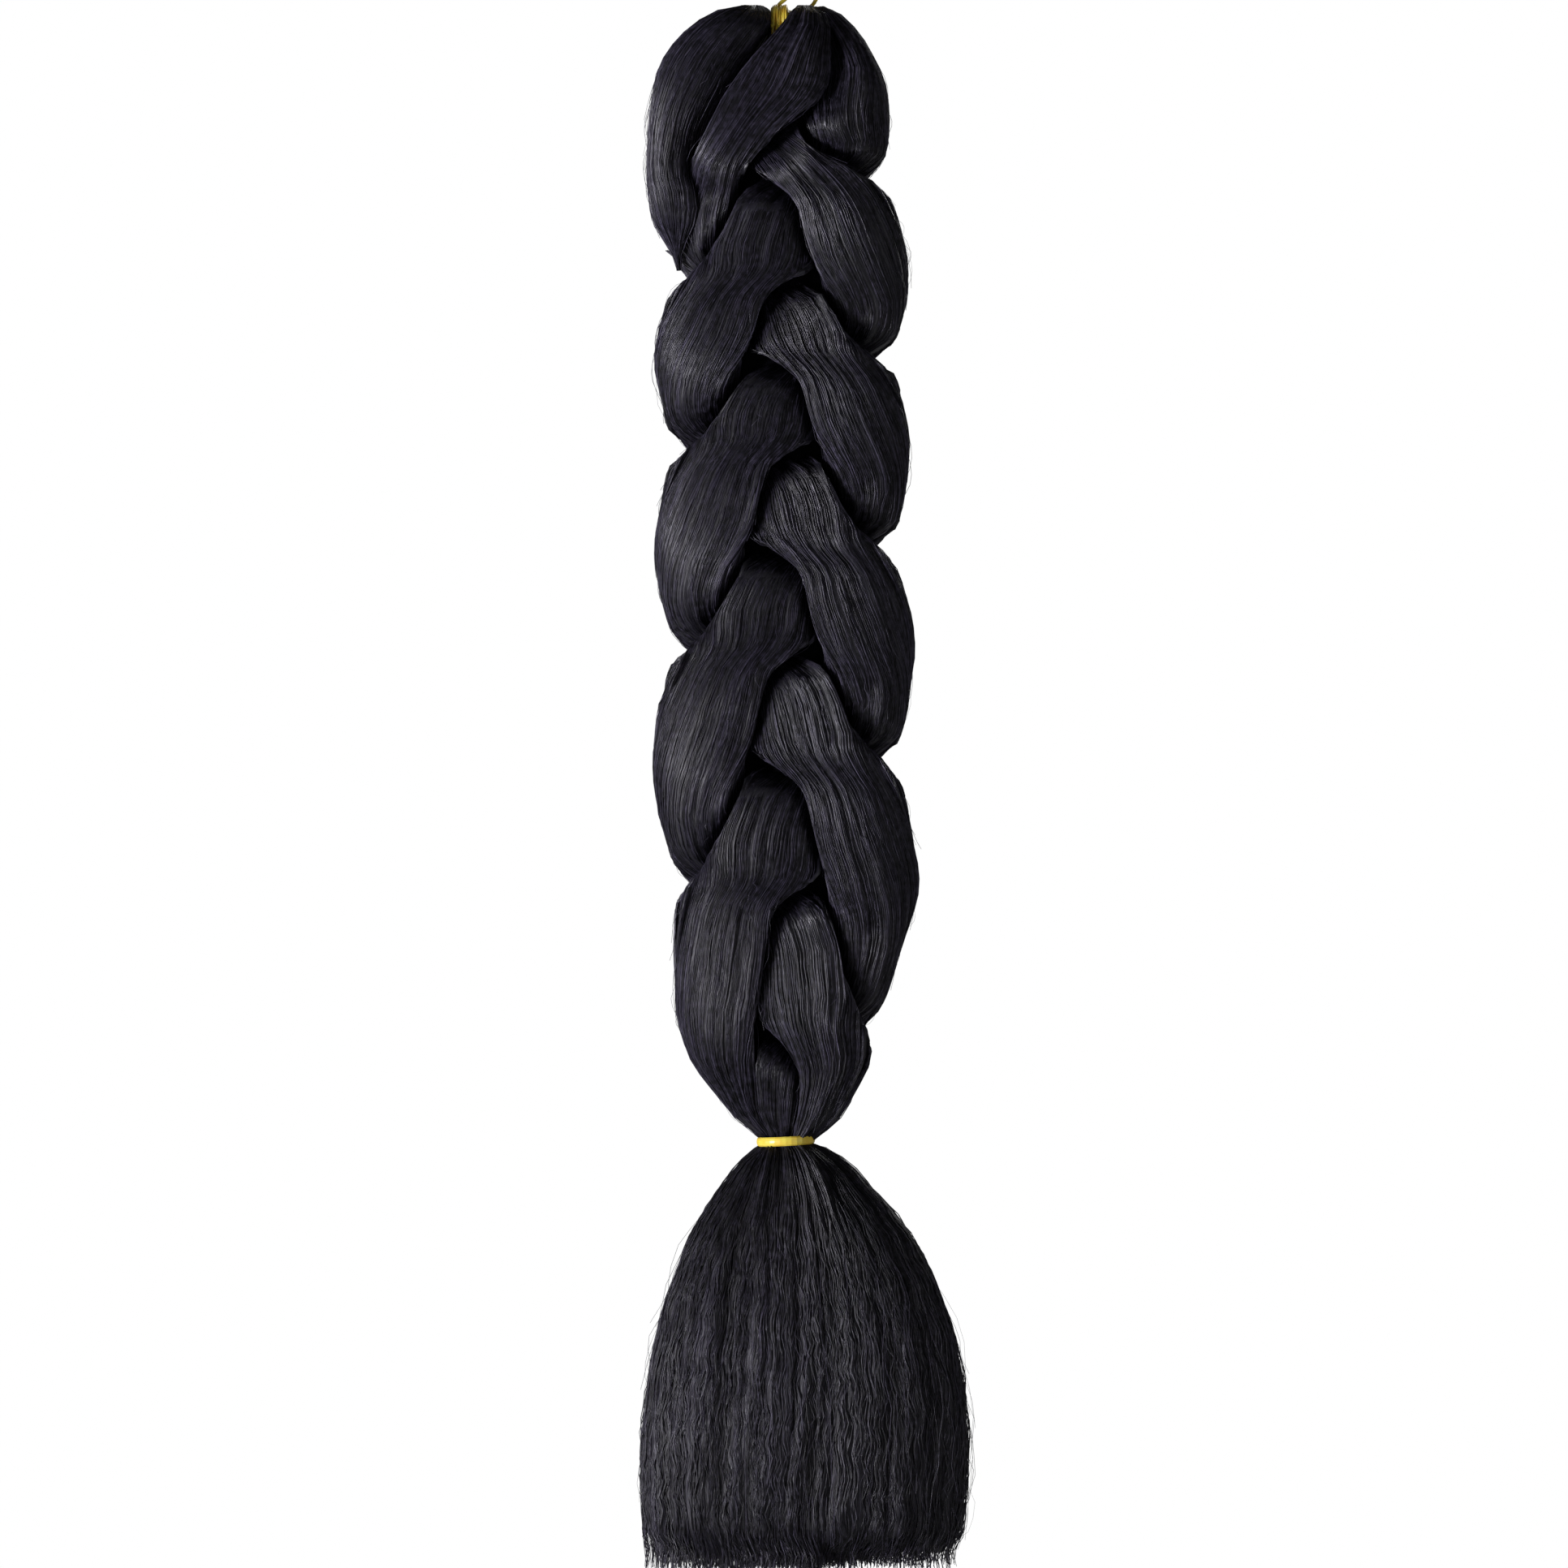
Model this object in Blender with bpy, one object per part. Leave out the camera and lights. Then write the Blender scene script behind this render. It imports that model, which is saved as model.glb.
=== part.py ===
"""Jumbo braiding hair: one long hank folded over an elastic and worked into a braid.

Metres, +Z up, the front of the braid towards -Y. The origin is the inner top of the
elastic's hanging loop, the point a hook carries. Inside the script a section is placed
by x (to the right) and front (towards the viewer, which is -Y).
"""
import math

import bmesh
import bpy
import numpy as np
from mathutils import Matrix, Vector

# Lengths down the hank
LOOP_RISE = 0.0254
BRAID_LENGTH = 0.4435
TAIL_LENGTH = 0.1650

# Widths and depths of the hair
BRAID_WIDTH = 0.0984
BRAID_DEPTH = 0.0510
TAIL_WIDTH = 0.1290
TAIL_DEPTH = 0.0560
WAIST_WIDTH = 0.0194

# The elastic that the hank is folded over, and its hanging loop
HOOK_OFFSET = 0.0079
NECK_HEIGHT = 0.0072
NECK_DEPTH = 0.0180
NECK_SQUEEZE = 0.05
WRAP_TURNS = 3
WRAP_THREAD = 0.0024
WRAP_THICKNESS = 0.0017
LOOP_THREAD = 0.0015

# The elastic band round the waist of the braid
TIE_HEIGHT = 0.0036
TIE_THICKNESS = 0.0014
TIE_TILT = math.radians(3.0)

# Clearances between pieces that press on each other
SEAT_GAP = 0.0003
STRAND_GAP = 0.0006

# Mesh fineness
STRAND_POINTS = 16
LOCK_POINTS = 14
LEVEL_STEPS = (0.0, 0.1, 0.2, 0.5, 0.8, 0.9)
TAIL_LOCKS = 14
POINTS_PER_LOCK = 3
TAIL_LEVELS = 15

HAIR_TOP = -LOOP_RISE
WAIST_Z = HAIR_TOP - BRAID_LENGTH
WRAP_WIDTH = WRAP_TURNS * WRAP_THREAD
WRAP_RADIUS_Z = NECK_HEIGHT / 2 + SEAT_GAP + WRAP_THICKNESS
WRAP_RADIUS_Y = NECK_DEPTH / 2 + SEAT_GAP + WRAP_THICKNESS
WRAP_X = -HOOK_OFFSET
AXIS_X = WRAP_X + SEAT_GAP
WRAP_Z = HAIR_TOP - WRAP_RADIUS_Z

# Crossings of the strands down the braid. Even counts are cusps on the right edge,
# odd counts on the left. Columns: share of the braid's length, crossing count
CROSSINGS = [
    (0.000, 0.00),
    (0.069, 1.00),
    (0.150, 2.00),
    (0.240, 3.00),
    (0.311, 4.00),
    (0.390, 5.00),
    (0.476, 6.00),
    (0.567, 7.00),
    (0.664, 8.00),
    (0.773, 9.00),
    (0.899, 10.00),
    (1.000, 10.60),
]

# The braid's outline. Columns: share of the length, centre shift and half width as
# shares of the half width, half depth as a share of the half depth
OUTLINE = [
    (0.000, -0.05, 0.60, 0.55),
    (0.025, -0.05, 0.74, 0.80),
    (0.070, -0.05, 0.88, 0.92),
    (0.105, -0.05, 0.94, 0.97),
    (0.150, -0.03, 0.99, 1.00),
    (0.240, 0.00, 1.00, 1.00),
    (0.390, 0.01, 1.00, 1.00),
    (0.567, 0.02, 1.01, 1.00),
    (0.700, 0.03, 1.03, 1.00),
    (0.773, 0.05, 1.02, 1.00),
    (0.839, 0.05, 0.92, 0.97),
    (0.899, 0.04, 0.835, 0.92),
    (0.931, 0.04, 0.745, 0.83),
    (0.965, 0.04, 0.575, 0.67),
    (0.983, 0.04, 0.41, 0.52),
    (0.991, 0.04, 0.365, 0.47),
    (1.000, 0.04, 0.30, 0.40),
]
# The last stretch narrows to the waist, where the strands fill this share of it
WAIST_LEVELS = (0.983, 0.9875, 0.991, 0.9945, 1.0)
WAIST_FILL = 0.93
WAIST_X = AXIS_X + OUTLINE[-1][1] * BRAID_WIDTH / 2

# The plait. A strand comes to the front at 0 degrees, lies along one edge at 90, goes in
# behind and is back in the middle at 180, and then does the same at the other edge.
# Columns: degrees, place of its inner edge on the front as a share of the half width
INNER_EDGE = [
    (30, -0.17),
    (60, 0.04),
    (90, 0.28),
    (120, 0.64),
    (150, 1.00),
]
# How far a strand bulges. Columns: degrees, reach to the side as a share of the half
# width, reach to the front as a share of the half depth
BULGE = [
    (-30, 0.86, 0.72),
    (0, 0.84, 0.84),
    (30, 0.87, 0.96),
    (60, 0.97, 1.03),
    (90, 1.02, 1.03),
    (120, 0.97, 0.96),
    (150, 0.86, 0.72),
]
# Degrees on either side of 30 over which a strand passes from behind to the front
HANDOVER = 12.0
STRANDS = ("middle_strand", "left_strand", "right_strand")

# Where each strand lies before the first crossings take it over. Columns: share of
# the length, centre x, centre front, half width, half depth, as shares of the halves
LEFT_LOCK_START = [
    (0.000, -0.22, 0.22, 0.33, 0.42),
    (0.012, -0.33, 0.30, 0.33, 0.54),
    (0.029, -0.44, 0.34, 0.35, 0.60),
    (0.047, -0.55, 0.34, 0.38, 0.62),
    (0.067, -0.66, 0.32, 0.33, 0.64),
    (0.092, -0.76, 0.30, 0.28, 0.64),
    (0.125, -0.81, 0.24, 0.24, 0.63),
    (0.159, -0.83, 0.18, 0.22, 0.59),
    (0.185, -0.82, 0.11, 0.20, 0.51),
    (0.209, -0.82, 0.03, 0.15, 0.36),
    (0.233, -0.80, -0.04, 0.06, 0.16),
]
MIDDLE_START = [
    (0.000, 0.19, 0.24, 0.21, 0.40),
    (0.012, 0.20, 0.35, 0.205, 0.46),
    (0.029, 0.15, 0.46, 0.240, 0.46),
    (0.047, 0.04, 0.54, 0.355, 0.46),
    (0.067, -0.03, 0.57, 0.440, 0.45),
    (0.092, -0.15, 0.59, 0.455, 0.45),
    (0.125, -0.33, 0.55, 0.365, 0.49),
    (0.147, -0.43, 0.43, 0.30, 0.52),
    (0.166, -0.50, 0.26, 0.275, 0.55),
]
LEFT_START = [
    (0.000, -0.25, -0.38, 0.30, 0.42),
    (0.029, -0.44, -0.46, 0.36, 0.48),
    (0.070, -0.45, -0.46, 0.48, 0.50),
]
RIGHT_START = [
    (0.000, 0.29, 0.00, 0.19, 0.60),
    (0.012, 0.35, 0.00, 0.19, 0.64),
    (0.029, 0.43, 0.00, 0.215, 0.76),
    (0.055, 0.54, 0.00, 0.235, 0.86),
    (0.070, 0.59, 0.00, 0.245, 0.90),
]
# Shares of the length over which the starts give way to the plait: the middle strand's
# outline, the side strands' outlines, and the walls between them
MIDDLE_BLEND = (0.120, 0.190)
SIDE_BLEND = (0.052, 0.130)
WALL_BLEND = (0.070, 0.160)
# Each lobe's round top is this share of the length high
DOME_SHARE = 0.030
DOME_LEVELS = (0.001, 0.003, 0.006, 0.011, 0.018, 0.027, 0.038, 0.050, 0.064)
LEVEL_SPACE = 0.004
LOCK_END = LEFT_LOCK_START[-1][0]

# How round a section is (2 is an ellipse), how sharply neighbours flatten each other,
# and how far a front strand spreads over the one behind it in the starts
SECTION_POWER = 2.3
FLATTEN_POWER = 11.0
SPREAD = 1.5
OUTLINE_POINTS = 72

# The tail below the tie. Columns: share of its length, centre shift from the waist as a
# share of the half width, half width share, half depth share
TAIL_SECTIONS = [
    (0.000, 0.00, 0.190, 0.38),
    (0.031, 0.03, 0.267, 0.456),
    (0.077, 0.06, 0.360, 0.50),
    (0.124, 0.07, 0.470, 0.57),
    (0.216, 0.09, 0.655, 0.68),
    (0.309, 0.11, 0.770, 0.76),
    (0.402, 0.12, 0.860, 0.84),
    (0.540, 0.13, 0.950, 0.93),
    (0.726, 0.12, 1.000, 1.00),
    (0.900, 0.11, 0.985, 0.98),
    (1.000, 0.12, 0.955, 0.93),
]
# The tail's first stretch widens from the waist, where it fills this share of it
TAIL_WAIST_LEVELS = (0.0, 0.012, 0.026, 0.040, 0.057)
TAIL_WAIST_FILL = 0.89
TAIL_FLATNESS = 0.9
LOCK_RELIEF = 0.055
TIP_NOTCH = 0.0070
TIP_SLOPE = 0.0030
TIP_WAVE = 0.0015
TIP_WAVES = 5

# The hanging loop's centre line from one end in the wrapped turns to the other.
# Columns: x from the wrapped turns as a share of the hook's offset, front as a share of
# the neck's half depth, height above the hair's top as a share of the loop's height
LOOP_ROUTE = [
    (-0.13, 0.11, -0.034),
    (-0.05, 0.13, 0.023),
    (0.35, 0.13, 0.130),
    (0.66, 0.10, 0.306),
    (0.71, 0.07, 0.535),
    (0.66, 0.03, 0.765),
    (0.74, 0.01, 0.937),
    (1.00, 0.00, 1.000),
    (1.33, -0.07, 0.941),
    (1.66, -0.22, 0.765),
    (1.89, -0.44, 0.535),
    (1.94, -0.67, 0.306),
    (1.77, -0.84, 0.115),
    (1.49, -0.97, 0.015),
    (1.01, -0.97, -0.046),
    (0.58, -0.78, -0.069),
    (0.23, -0.58, -0.054),
]
LOOP_STEPS = 3
LOOP_SIDES = 8

# Points round the neck, the wrapped turns and the band
NECK_POINTS = 20
WRAP_POINTS = 24
TIE_POINTS = 32

# Profiles. One wrapped turn: share of its width, share of its thickness. The band:
# share of its thickness, share of its height
TURN_PROFILE = [(0.0, 0.55), (0.25, 0.95), (0.75, 0.95)]
TIE_PROFILE = [
    (0.0, -0.40),
    (0.0, 0.40),
    (0.45, 0.50),
    (0.85, 0.36),
    (1.0, 0.12),
    (1.0, -0.12),
    (0.85, -0.36),
    (0.45, -0.50),
]


def clear_scene():
    for item in list(bpy.data.objects):
        bpy.data.objects.remove(item, do_unlink=True)


def material(name, colour, roughness):
    made = bpy.data.materials.new(name)
    made.use_nodes = True
    shader = made.node_tree.nodes["Principled BSDF"]
    shader.inputs["Base Color"].default_value = (*colour, 1.0)
    shader.inputs["Roughness"].default_value = roughness
    shader.inputs["Metallic"].default_value = 0.0
    made.diffuse_color = (*colour, 1.0)
    return made


def smooth_step(value, start, end):
    t = min(max((value - start) / (end - start), 0.0), 1.0)
    return t * t * (3.0 - 2.0 * t)


def mix(first, second, amount):
    return first + (second - first) * amount


def curve(table, column):
    """A smooth curve through one column of a table that never overshoots a row."""
    xs = np.array([row[0] for row in table], float)
    ys = np.array([row[column] for row in table], float)
    steps = np.diff(xs)
    slopes = np.diff(ys) / steps
    tangents = np.zeros(len(xs))
    tangents[0], tangents[-1] = slopes[0], slopes[-1]
    for i in range(1, len(xs) - 1):
        if slopes[i - 1] * slopes[i] > 0.0:
            before = 2.0 * steps[i] + steps[i - 1]
            after = steps[i] + 2.0 * steps[i - 1]
            tangents[i] = (before + after) / (before / slopes[i - 1] + after / slopes[i])

    def at(x):
        x = min(max(x, xs[0]), xs[-1])
        i = min(max(int(np.searchsorted(xs, x, side="right")) - 1, 0), len(xs) - 2)
        t = (x - xs[i]) / steps[i]
        ends = (1 + 2 * t) * (1 - t) ** 2 * ys[i] + t * t * (3 - 2 * t) * ys[i + 1]
        lean = t * (1 - t) ** 2 * tangents[i] - t * t * (1 - t) * tangents[i + 1]
        return float(ends + lean * steps[i])

    return at


crossing_at = curve(CROSSINGS, 1)
outline_shift, outline_width, outline_depth = (curve(OUTLINE, c) for c in (1, 2, 3))
inner_edge = curve(INNER_EDGE, 1)
side_reach, front_reach = (curve(BULGE, c) for c in (1, 2))
tail_shift, tail_width, tail_depth = (curve(TAIL_SECTIONS, c) for c in (1, 2, 3))


def start_reader(table):
    """Centre x, centre front, half width and half depth in metres at a share."""
    columns = [curve(table, c) for c in (1, 2, 3, 4)]
    units = (BRAID_WIDTH / 2, BRAID_DEPTH / 2, BRAID_WIDTH / 2, BRAID_DEPTH / 2)

    def at(share):
        x, front, wide, deep = (read(share) * unit for read, unit in zip(columns, units))
        rest = min(share / DOME_SHARE, 1.0)
        dome = math.sqrt(max(1.0 - (1.0 - rest) ** 2, 0.02))
        return (AXIS_X + x, front, wide * dome, deep * dome)

    return at


lock_start = start_reader(LEFT_LOCK_START)
middle_start = start_reader(MIDDLE_START)
left_start = start_reader(LEFT_START)
right_start = start_reader(RIGHT_START)


def plait_frame(share):
    """Centre, half width and half depth of the whole plait at a level."""
    waist = WAIST_FILL * WAIST_WIDTH / 2
    narrowed = smooth_step(share, WAIST_LEVELS[1], WAIST_LEVELS[-2])
    half_width = mix(outline_width(share) * BRAID_WIDTH / 2, waist, narrowed)
    half_depth = mix(outline_depth(share) * BRAID_DEPTH / 2, waist, narrowed)
    return AXIS_X + outline_shift(share) * BRAID_WIDTH / 2, half_width, half_depth


def rim(share):
    """How far a section reaches in depth at a share of its half width."""
    return max(1.0 - abs(share) ** SECTION_POWER, 0.0) ** (1.0 / SECTION_POWER)


def turn_of(name, share):
    """A strand's degrees: 0 to 180 on the left, 180 to 360 on the right."""
    return ((crossing_at(share) - 0.5) * 60 + 120 * STRANDS.index(name)) % 360


def rounded(x, front, wide, ahead, behind):
    """A rounded section's outline, with its own reach to the front and to the back."""
    points = []
    for i in range(OUTLINE_POINTS):
        angle = 2 * math.pi * i / OUTLINE_POINTS
        cosine, sine = math.cos(angle), math.sin(angle)
        across = math.copysign(abs(cosine) ** (2 / SECTION_POWER), cosine)
        depth = math.copysign(abs(sine) ** (2 / SECTION_POWER), sine)
        reach = ahead if sine > 0.0 else behind
        points.append(Vector((x + wide * across, front + reach * depth)))
    return points


def plaited_outline(name, share):
    centre, half_width, half_depth = plait_frame(share)
    turn = (turn_of(name, share) + 30) % 180 - 30
    wide = side_reach(turn) * half_width
    ahead = front_reach(turn) * half_depth
    behind = front_reach((30 - turn) % 180 - 30) * half_depth
    return rounded(centre, 0.0, wide, ahead, behind)


def pair_wall(turn, side, frame):
    """The wall of a strand coming to the front at one side and the one leaving there.

    turn is the coming strand's degrees, from -30 to 90. The normal points from the
    coming strand to the leaving one.
    """
    centre, half_width, half_depth = frame
    late = turn > 30
    outer = inner_edge(180 - turn if late else turn + 120)
    inner = inner_edge(turn if late else 60 - turn)
    slide = 2 * smooth_step(turn, 30 - HANDOVER, 30 + HANDOVER) - 1
    outer_depth = rim(outer) * half_depth * (-1 if late else 1)
    inner_depth = rim(inner) * half_depth * slide
    run = Vector((side * (outer - inner) * half_width, outer_depth - inner_depth))
    normal = Vector((run.y, -run.x)).normalized() * side
    return normal, normal.dot(Vector((centre + side * inner * half_width, inner_depth)))


def plait_walls(share):
    """The walls between the three strands in the plait, for each pair of names."""
    turns = [(turn_of(name, share) + 90) % 180 - 90 for name in STRANDS]
    middle = min(range(3), key=lambda i: abs(turns[i]))
    turn = turns[middle]
    side = 1 if 90 < turn_of(STRANDS[middle], share) < 270 else -1
    here, leaving, coming = (STRANDS[(middle + i) % 3] for i in range(3))
    frame = plait_frame(share)
    near = pair_wall(turn, side, frame)
    far = pair_wall(turn + 60, -side, frame)
    return {
        (here, leaving): near,
        (coming, here): far,
        (coming, leaving): far if turn > 0 else near,
    }


def split_wall(first, second):
    """The wall between two sections, by their middles and sizes."""
    x, front, wide, deep = first
    ox, ofront, owide, odeep = second
    mine, theirs = math.sqrt(wide * deep), math.sqrt(owide * odeep)
    away = Vector((ox - x, ofront - front))
    normal = Vector((away.x, SPREAD ** 2 * away.y)).normalized()
    inset = away.dot(normal) * mine / (mine + theirs)
    return normal, normal.dot(Vector((x, front))) + inset


def turned(pairs, first, second):
    """A pair's wall as the first strand sees it."""
    if (first, second) in pairs:
        return pairs[first, second]
    normal, distance = pairs[second, first]
    return -normal, -distance


def cut_off(points, normal, distance):
    """The part of a flat outline on the near side of a wall."""
    kept = []
    for here, there in zip(points, points[1:] + points[:1]):
        a, b = normal.dot(here) - distance, normal.dot(there) - distance
        if a <= 0.0:
            kept.append(here)
        if a * b < 0.0:
            kept.append(here.lerp(there, a / (a - b)))
    return kept


def box_of(points):
    """Middle of a flat outline's area, with half its width and half its depth."""
    total, middle = 0.0, Vector((0.0, 0.0))
    for here, there in zip(points, points[1:] + points[:1]):
        twice = here.x * there.y - there.x * here.y
        total += twice
        middle += (here + there) * twice / 3
    xs, fronts = [p.x for p in points], [p.y for p in points]
    middle /= total
    return (middle.x, middle.y, (max(xs) - min(xs)) / 2, (max(fronts) - min(fronts)) / 2)


def level_at(share):
    """Every strand's outline and the walls between the strands at one level."""
    amount = smooth_step(share, *WALL_BLEND)
    starts = {
        "middle_strand": middle_start(share),
        "left_strand": left_start(share),
        "right_strand": right_start(share),
    }
    plaited = plait_walls(share)
    outlines, pairs, sections = {}, {}, {}
    for name in STRANDS:
        x, front, wide, deep = starts[name]
        begun = rounded(x, front, wide, deep, deep)
        grown = plaited_outline(name, share)
        blend = MIDDLE_BLEND if name == "middle_strand" else SIDE_BLEND
        given = smooth_step(share, *blend)
        outlines[name] = [a.lerp(b, given) for a, b in zip(begun, grown)]
    for i, first in enumerate(STRANDS):
        second = STRANDS[(i + 1) % 3]
        normal, distance = split_wall(starts[first], starts[second])
        late_normal, late_distance = turned(plaited, first, second)
        blended = normal.lerp(late_normal, amount)
        pairs[first, second] = (
            blended.normalized(),
            mix(distance, late_distance, amount) / blended.length,
        )
    if share <= LOCK_END:
        lock = lock_start(share)
        outlines["left_lock"] = rounded(*lock, lock[3])
        for name in STRANDS:
            region = outlines[name]
            for other in STRANDS:
                if other != name:
                    region = cut_off(region, *turned(pairs, name, other))
            sections[name] = box_of(region)
        for name in STRANDS:
            pairs["left_lock", name] = split_wall(lock, sections[name])
    return outlines, pairs


def walls(name, level):
    """The flat walls that a strand shares with its neighbours: normal and distance."""
    outlines, pairs = level
    made = {}
    for other in outlines:
        if other != name:
            normal, distance = turned(pairs, name, other)
            made[other] = (normal, distance - STRAND_GAP / 2)
    return made


def reach_to(points, centre, run):
    """How far a flat outline is from a point inside it, along a direction."""
    far = 0.0
    for here, there in zip(points, points[1:] + points[:1]):
        step, off = there - here, here - centre
        across = run.x * step.y - run.y * step.x
        if abs(across) < 1e-12:
            continue
        share = (off.x * run.y - off.y * run.x) / across
        if -1e-6 <= share <= 1.0 + 1e-6:
            far = max(far, (off.x * step.y - off.y * step.x) / across)
    return max(far, SEAT_GAP)


def ring(name, share, nearby, count):
    """One strand's outline at a level, flattened where its neighbours press on it.

    The walls at the nearby shares count too, so that the strands keep their gap
    between two levels as well as on them.
    """
    level = level_at(share)
    outline = level[0][name]
    own_walls = walls(name, level)
    region = outline
    for normal, distance in own_walls.values():
        region = cut_off(region, normal, distance)
    x, front, wide, deep = box_of(region)
    centre = Vector((x, front))
    around = [walls(name, level_at(s)) for s in nearby] + [own_walls]
    points = []
    for i in range(count):
        angle = 2 * math.pi * i / count
        run = Vector((wide * math.cos(angle), deep * math.sin(angle))).normalized()
        reach = reach_to(outline, centre, run) ** -FLATTEN_POWER
        pressed = {}
        for found in around:
            for other, (normal, distance) in found.items():
                room = max(distance - normal.dot(centre), SEAT_GAP)
                facing = max(run.dot(normal), 0.0) / room
                pressed[other] = max(pressed.get(other, 0.0), facing)
        reach += sum(facing ** FLATTEN_POWER for facing in pressed.values())
        radius = reach ** (-1.0 / FLATTEN_POWER)
        place = HAIR_TOP - share * BRAID_LENGTH
        points.append(Vector((x + radius * run.x, -(front + radius * run.y), place)))
    return points


def rings_down(name, shares, count):
    """A strand's outlines at every level, each mindful of half way to the next ones."""
    rings = []
    for i, share in enumerate(shares):
        ends = (shares[max(i - 1, 0)], shares[min(i + 1, len(shares) - 1)])
        nearby = [(share + end) / 2 for end in ends]
        rings.append(ring(name, share, nearby, count))
    return rings


def new_object(name, mesh, look):
    made = bpy.data.objects.new(name, mesh)
    made.data.materials.append(look)
    bpy.context.collection.objects.link(made)
    return made


def loft(name, rings, look, capped=True):
    """A closed body through rings that have the same number of points."""
    body = bmesh.new()
    loops = [[body.verts.new(point) for point in points] for points in rings]
    if not capped:
        loops.append(loops[0])
    for upper, lower in zip(loops, loops[1:]):
        for i in range(len(upper)):
            j = (i + 1) % len(upper)
            body.faces.new((upper[i], upper[j], lower[j], lower[i]))
    if capped:
        for points in (loops[0], loops[-1]):
            centre = sum((vert.co for vert in points), Vector()) / len(points)
            hub = body.verts.new(centre)
            for i in range(len(points)):
                body.faces.new((points[i], points[(i + 1) % len(points)], hub))
    bmesh.ops.recalc_face_normals(body, faces=body.faces)
    mesh = bpy.data.meshes.new(name)
    body.to_mesh(mesh)
    body.free()
    mesh.shade_smooth()
    return new_object(name, mesh, look)


def strand_levels():
    """Levels for the strands: close together over the round tops, then by crossings."""
    share_of = curve([(count, share) for share, count in CROSSINGS], 1)
    last_count = CROSSINGS[-1][1]
    counts = [c + step for c in range(1, int(last_count) + 1) for step in LEVEL_STEPS]
    plaited = [share_of(count) for count in counts if 1.0 < count < last_count]
    fixed = [LOCK_END] + list(WAIST_LEVELS)
    free = list(DOME_LEVELS) + plaited
    free = [s for s in free if min(abs(s - held) for held in fixed) > LEVEL_SPACE]
    return sorted(free + fixed)


def make_strands(look):
    made = {}
    levels = strand_levels()
    for name in STRANDS:
        made[name] = loft(name, rings_down(name, levels, STRAND_POINTS), look)
    lock_levels = [share for share in levels if share <= LOCK_END]
    made["left_lock"] = loft("left_lock", rings_down("left_lock", lock_levels, LOCK_POINTS), look)
    return made


def oval_rings(rows, centre):
    """Upright oval rings along X. Rows: x from the centre, radius in Y, radius in Z."""
    rings = []
    for x, radius_y, radius_z in rows:
        points = []
        for i in range(NECK_POINTS):
            angle = 2 * math.pi * i / NECK_POINTS
            offset = Vector((x, radius_y * math.cos(angle), radius_z * math.sin(angle)))
            points.append(centre + offset)
        rings.append(points)
    return rings


def cut_wrap_pocket(strands, look):
    """Leave room between the two lobes for the wrapped turns of the elastic."""
    half = WRAP_WIDTH / 2 + SEAT_GAP
    radius_y = WRAP_RADIUS_Y + SEAT_GAP
    radius_z = WRAP_RADIUS_Z + SEAT_GAP
    rows = [(-half, radius_y, radius_z), (half, radius_y, radius_z)]
    centre = Vector((WRAP_X, 0.0, WRAP_Z))
    cutter = loft("wrap_pocket_cutter", oval_rings(rows, centre), look)
    cutter.hide_render = True
    cutter.display_type = "WIRE"
    for name in ("left_lock", "left_strand", "middle_strand"):
        cut = strands[name].modifiers.new("wrap_pocket", "BOOLEAN")
        cut.operation = "DIFFERENCE"
        cut.solver = "EXACT"
        cut.object = cutter


def make_neck(look):
    """The hank's pinched middle, which runs through the elastic from lobe to lobe."""
    half = WRAP_WIDTH / 2
    depth, height = NECK_DEPTH / 2, NECK_HEIGHT / 2
    squeezed = 1.0 - NECK_SQUEEZE
    rows = [
        (-half, depth, height),
        (0.0, squeezed * depth, squeezed * height),
        (half, depth, height),
    ]
    return loft("fold_neck", oval_rings(rows, Vector((WRAP_X, 0.0, WRAP_Z))), look)


def wrap_profile():
    """The wrapped turns side by side, as x from their middle and height off the hair."""
    points = [(WRAP_WIDTH / 2, 0.0), (-WRAP_WIDTH / 2, 0.0)]
    for turn in range(WRAP_TURNS):
        left = -WRAP_WIDTH / 2 + turn * WRAP_THREAD
        for part, rise in TURN_PROFILE:
            points.append((left + part * WRAP_THREAD, rise * WRAP_THICKNESS))
    points.append((WRAP_WIDTH / 2, TURN_PROFILE[0][1] * WRAP_THICKNESS))
    return points


def make_hanging_elastic(look):
    rings = []
    for i in range(WRAP_POINTS):
        angle = 2 * math.pi * i / WRAP_POINTS
        points = []
        for x, rise in wrap_profile():
            radius_y = NECK_DEPTH / 2 + SEAT_GAP + rise
            radius_z = NECK_HEIGHT / 2 + SEAT_GAP + rise
            y, z = radius_y * math.cos(angle), radius_z * math.sin(angle)
            points.append(Vector((WRAP_X + x, y, WRAP_Z + z)))
        rings.append(points)
    wrap = loft("hanging_elastic", rings, look, capped=False)
    loop = make_loop_tube(look)
    join = wrap.modifiers.new("loop", "BOOLEAN")
    join.operation = "UNION"
    join.solver = "EXACT"
    join.object = loop
    return wrap


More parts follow.
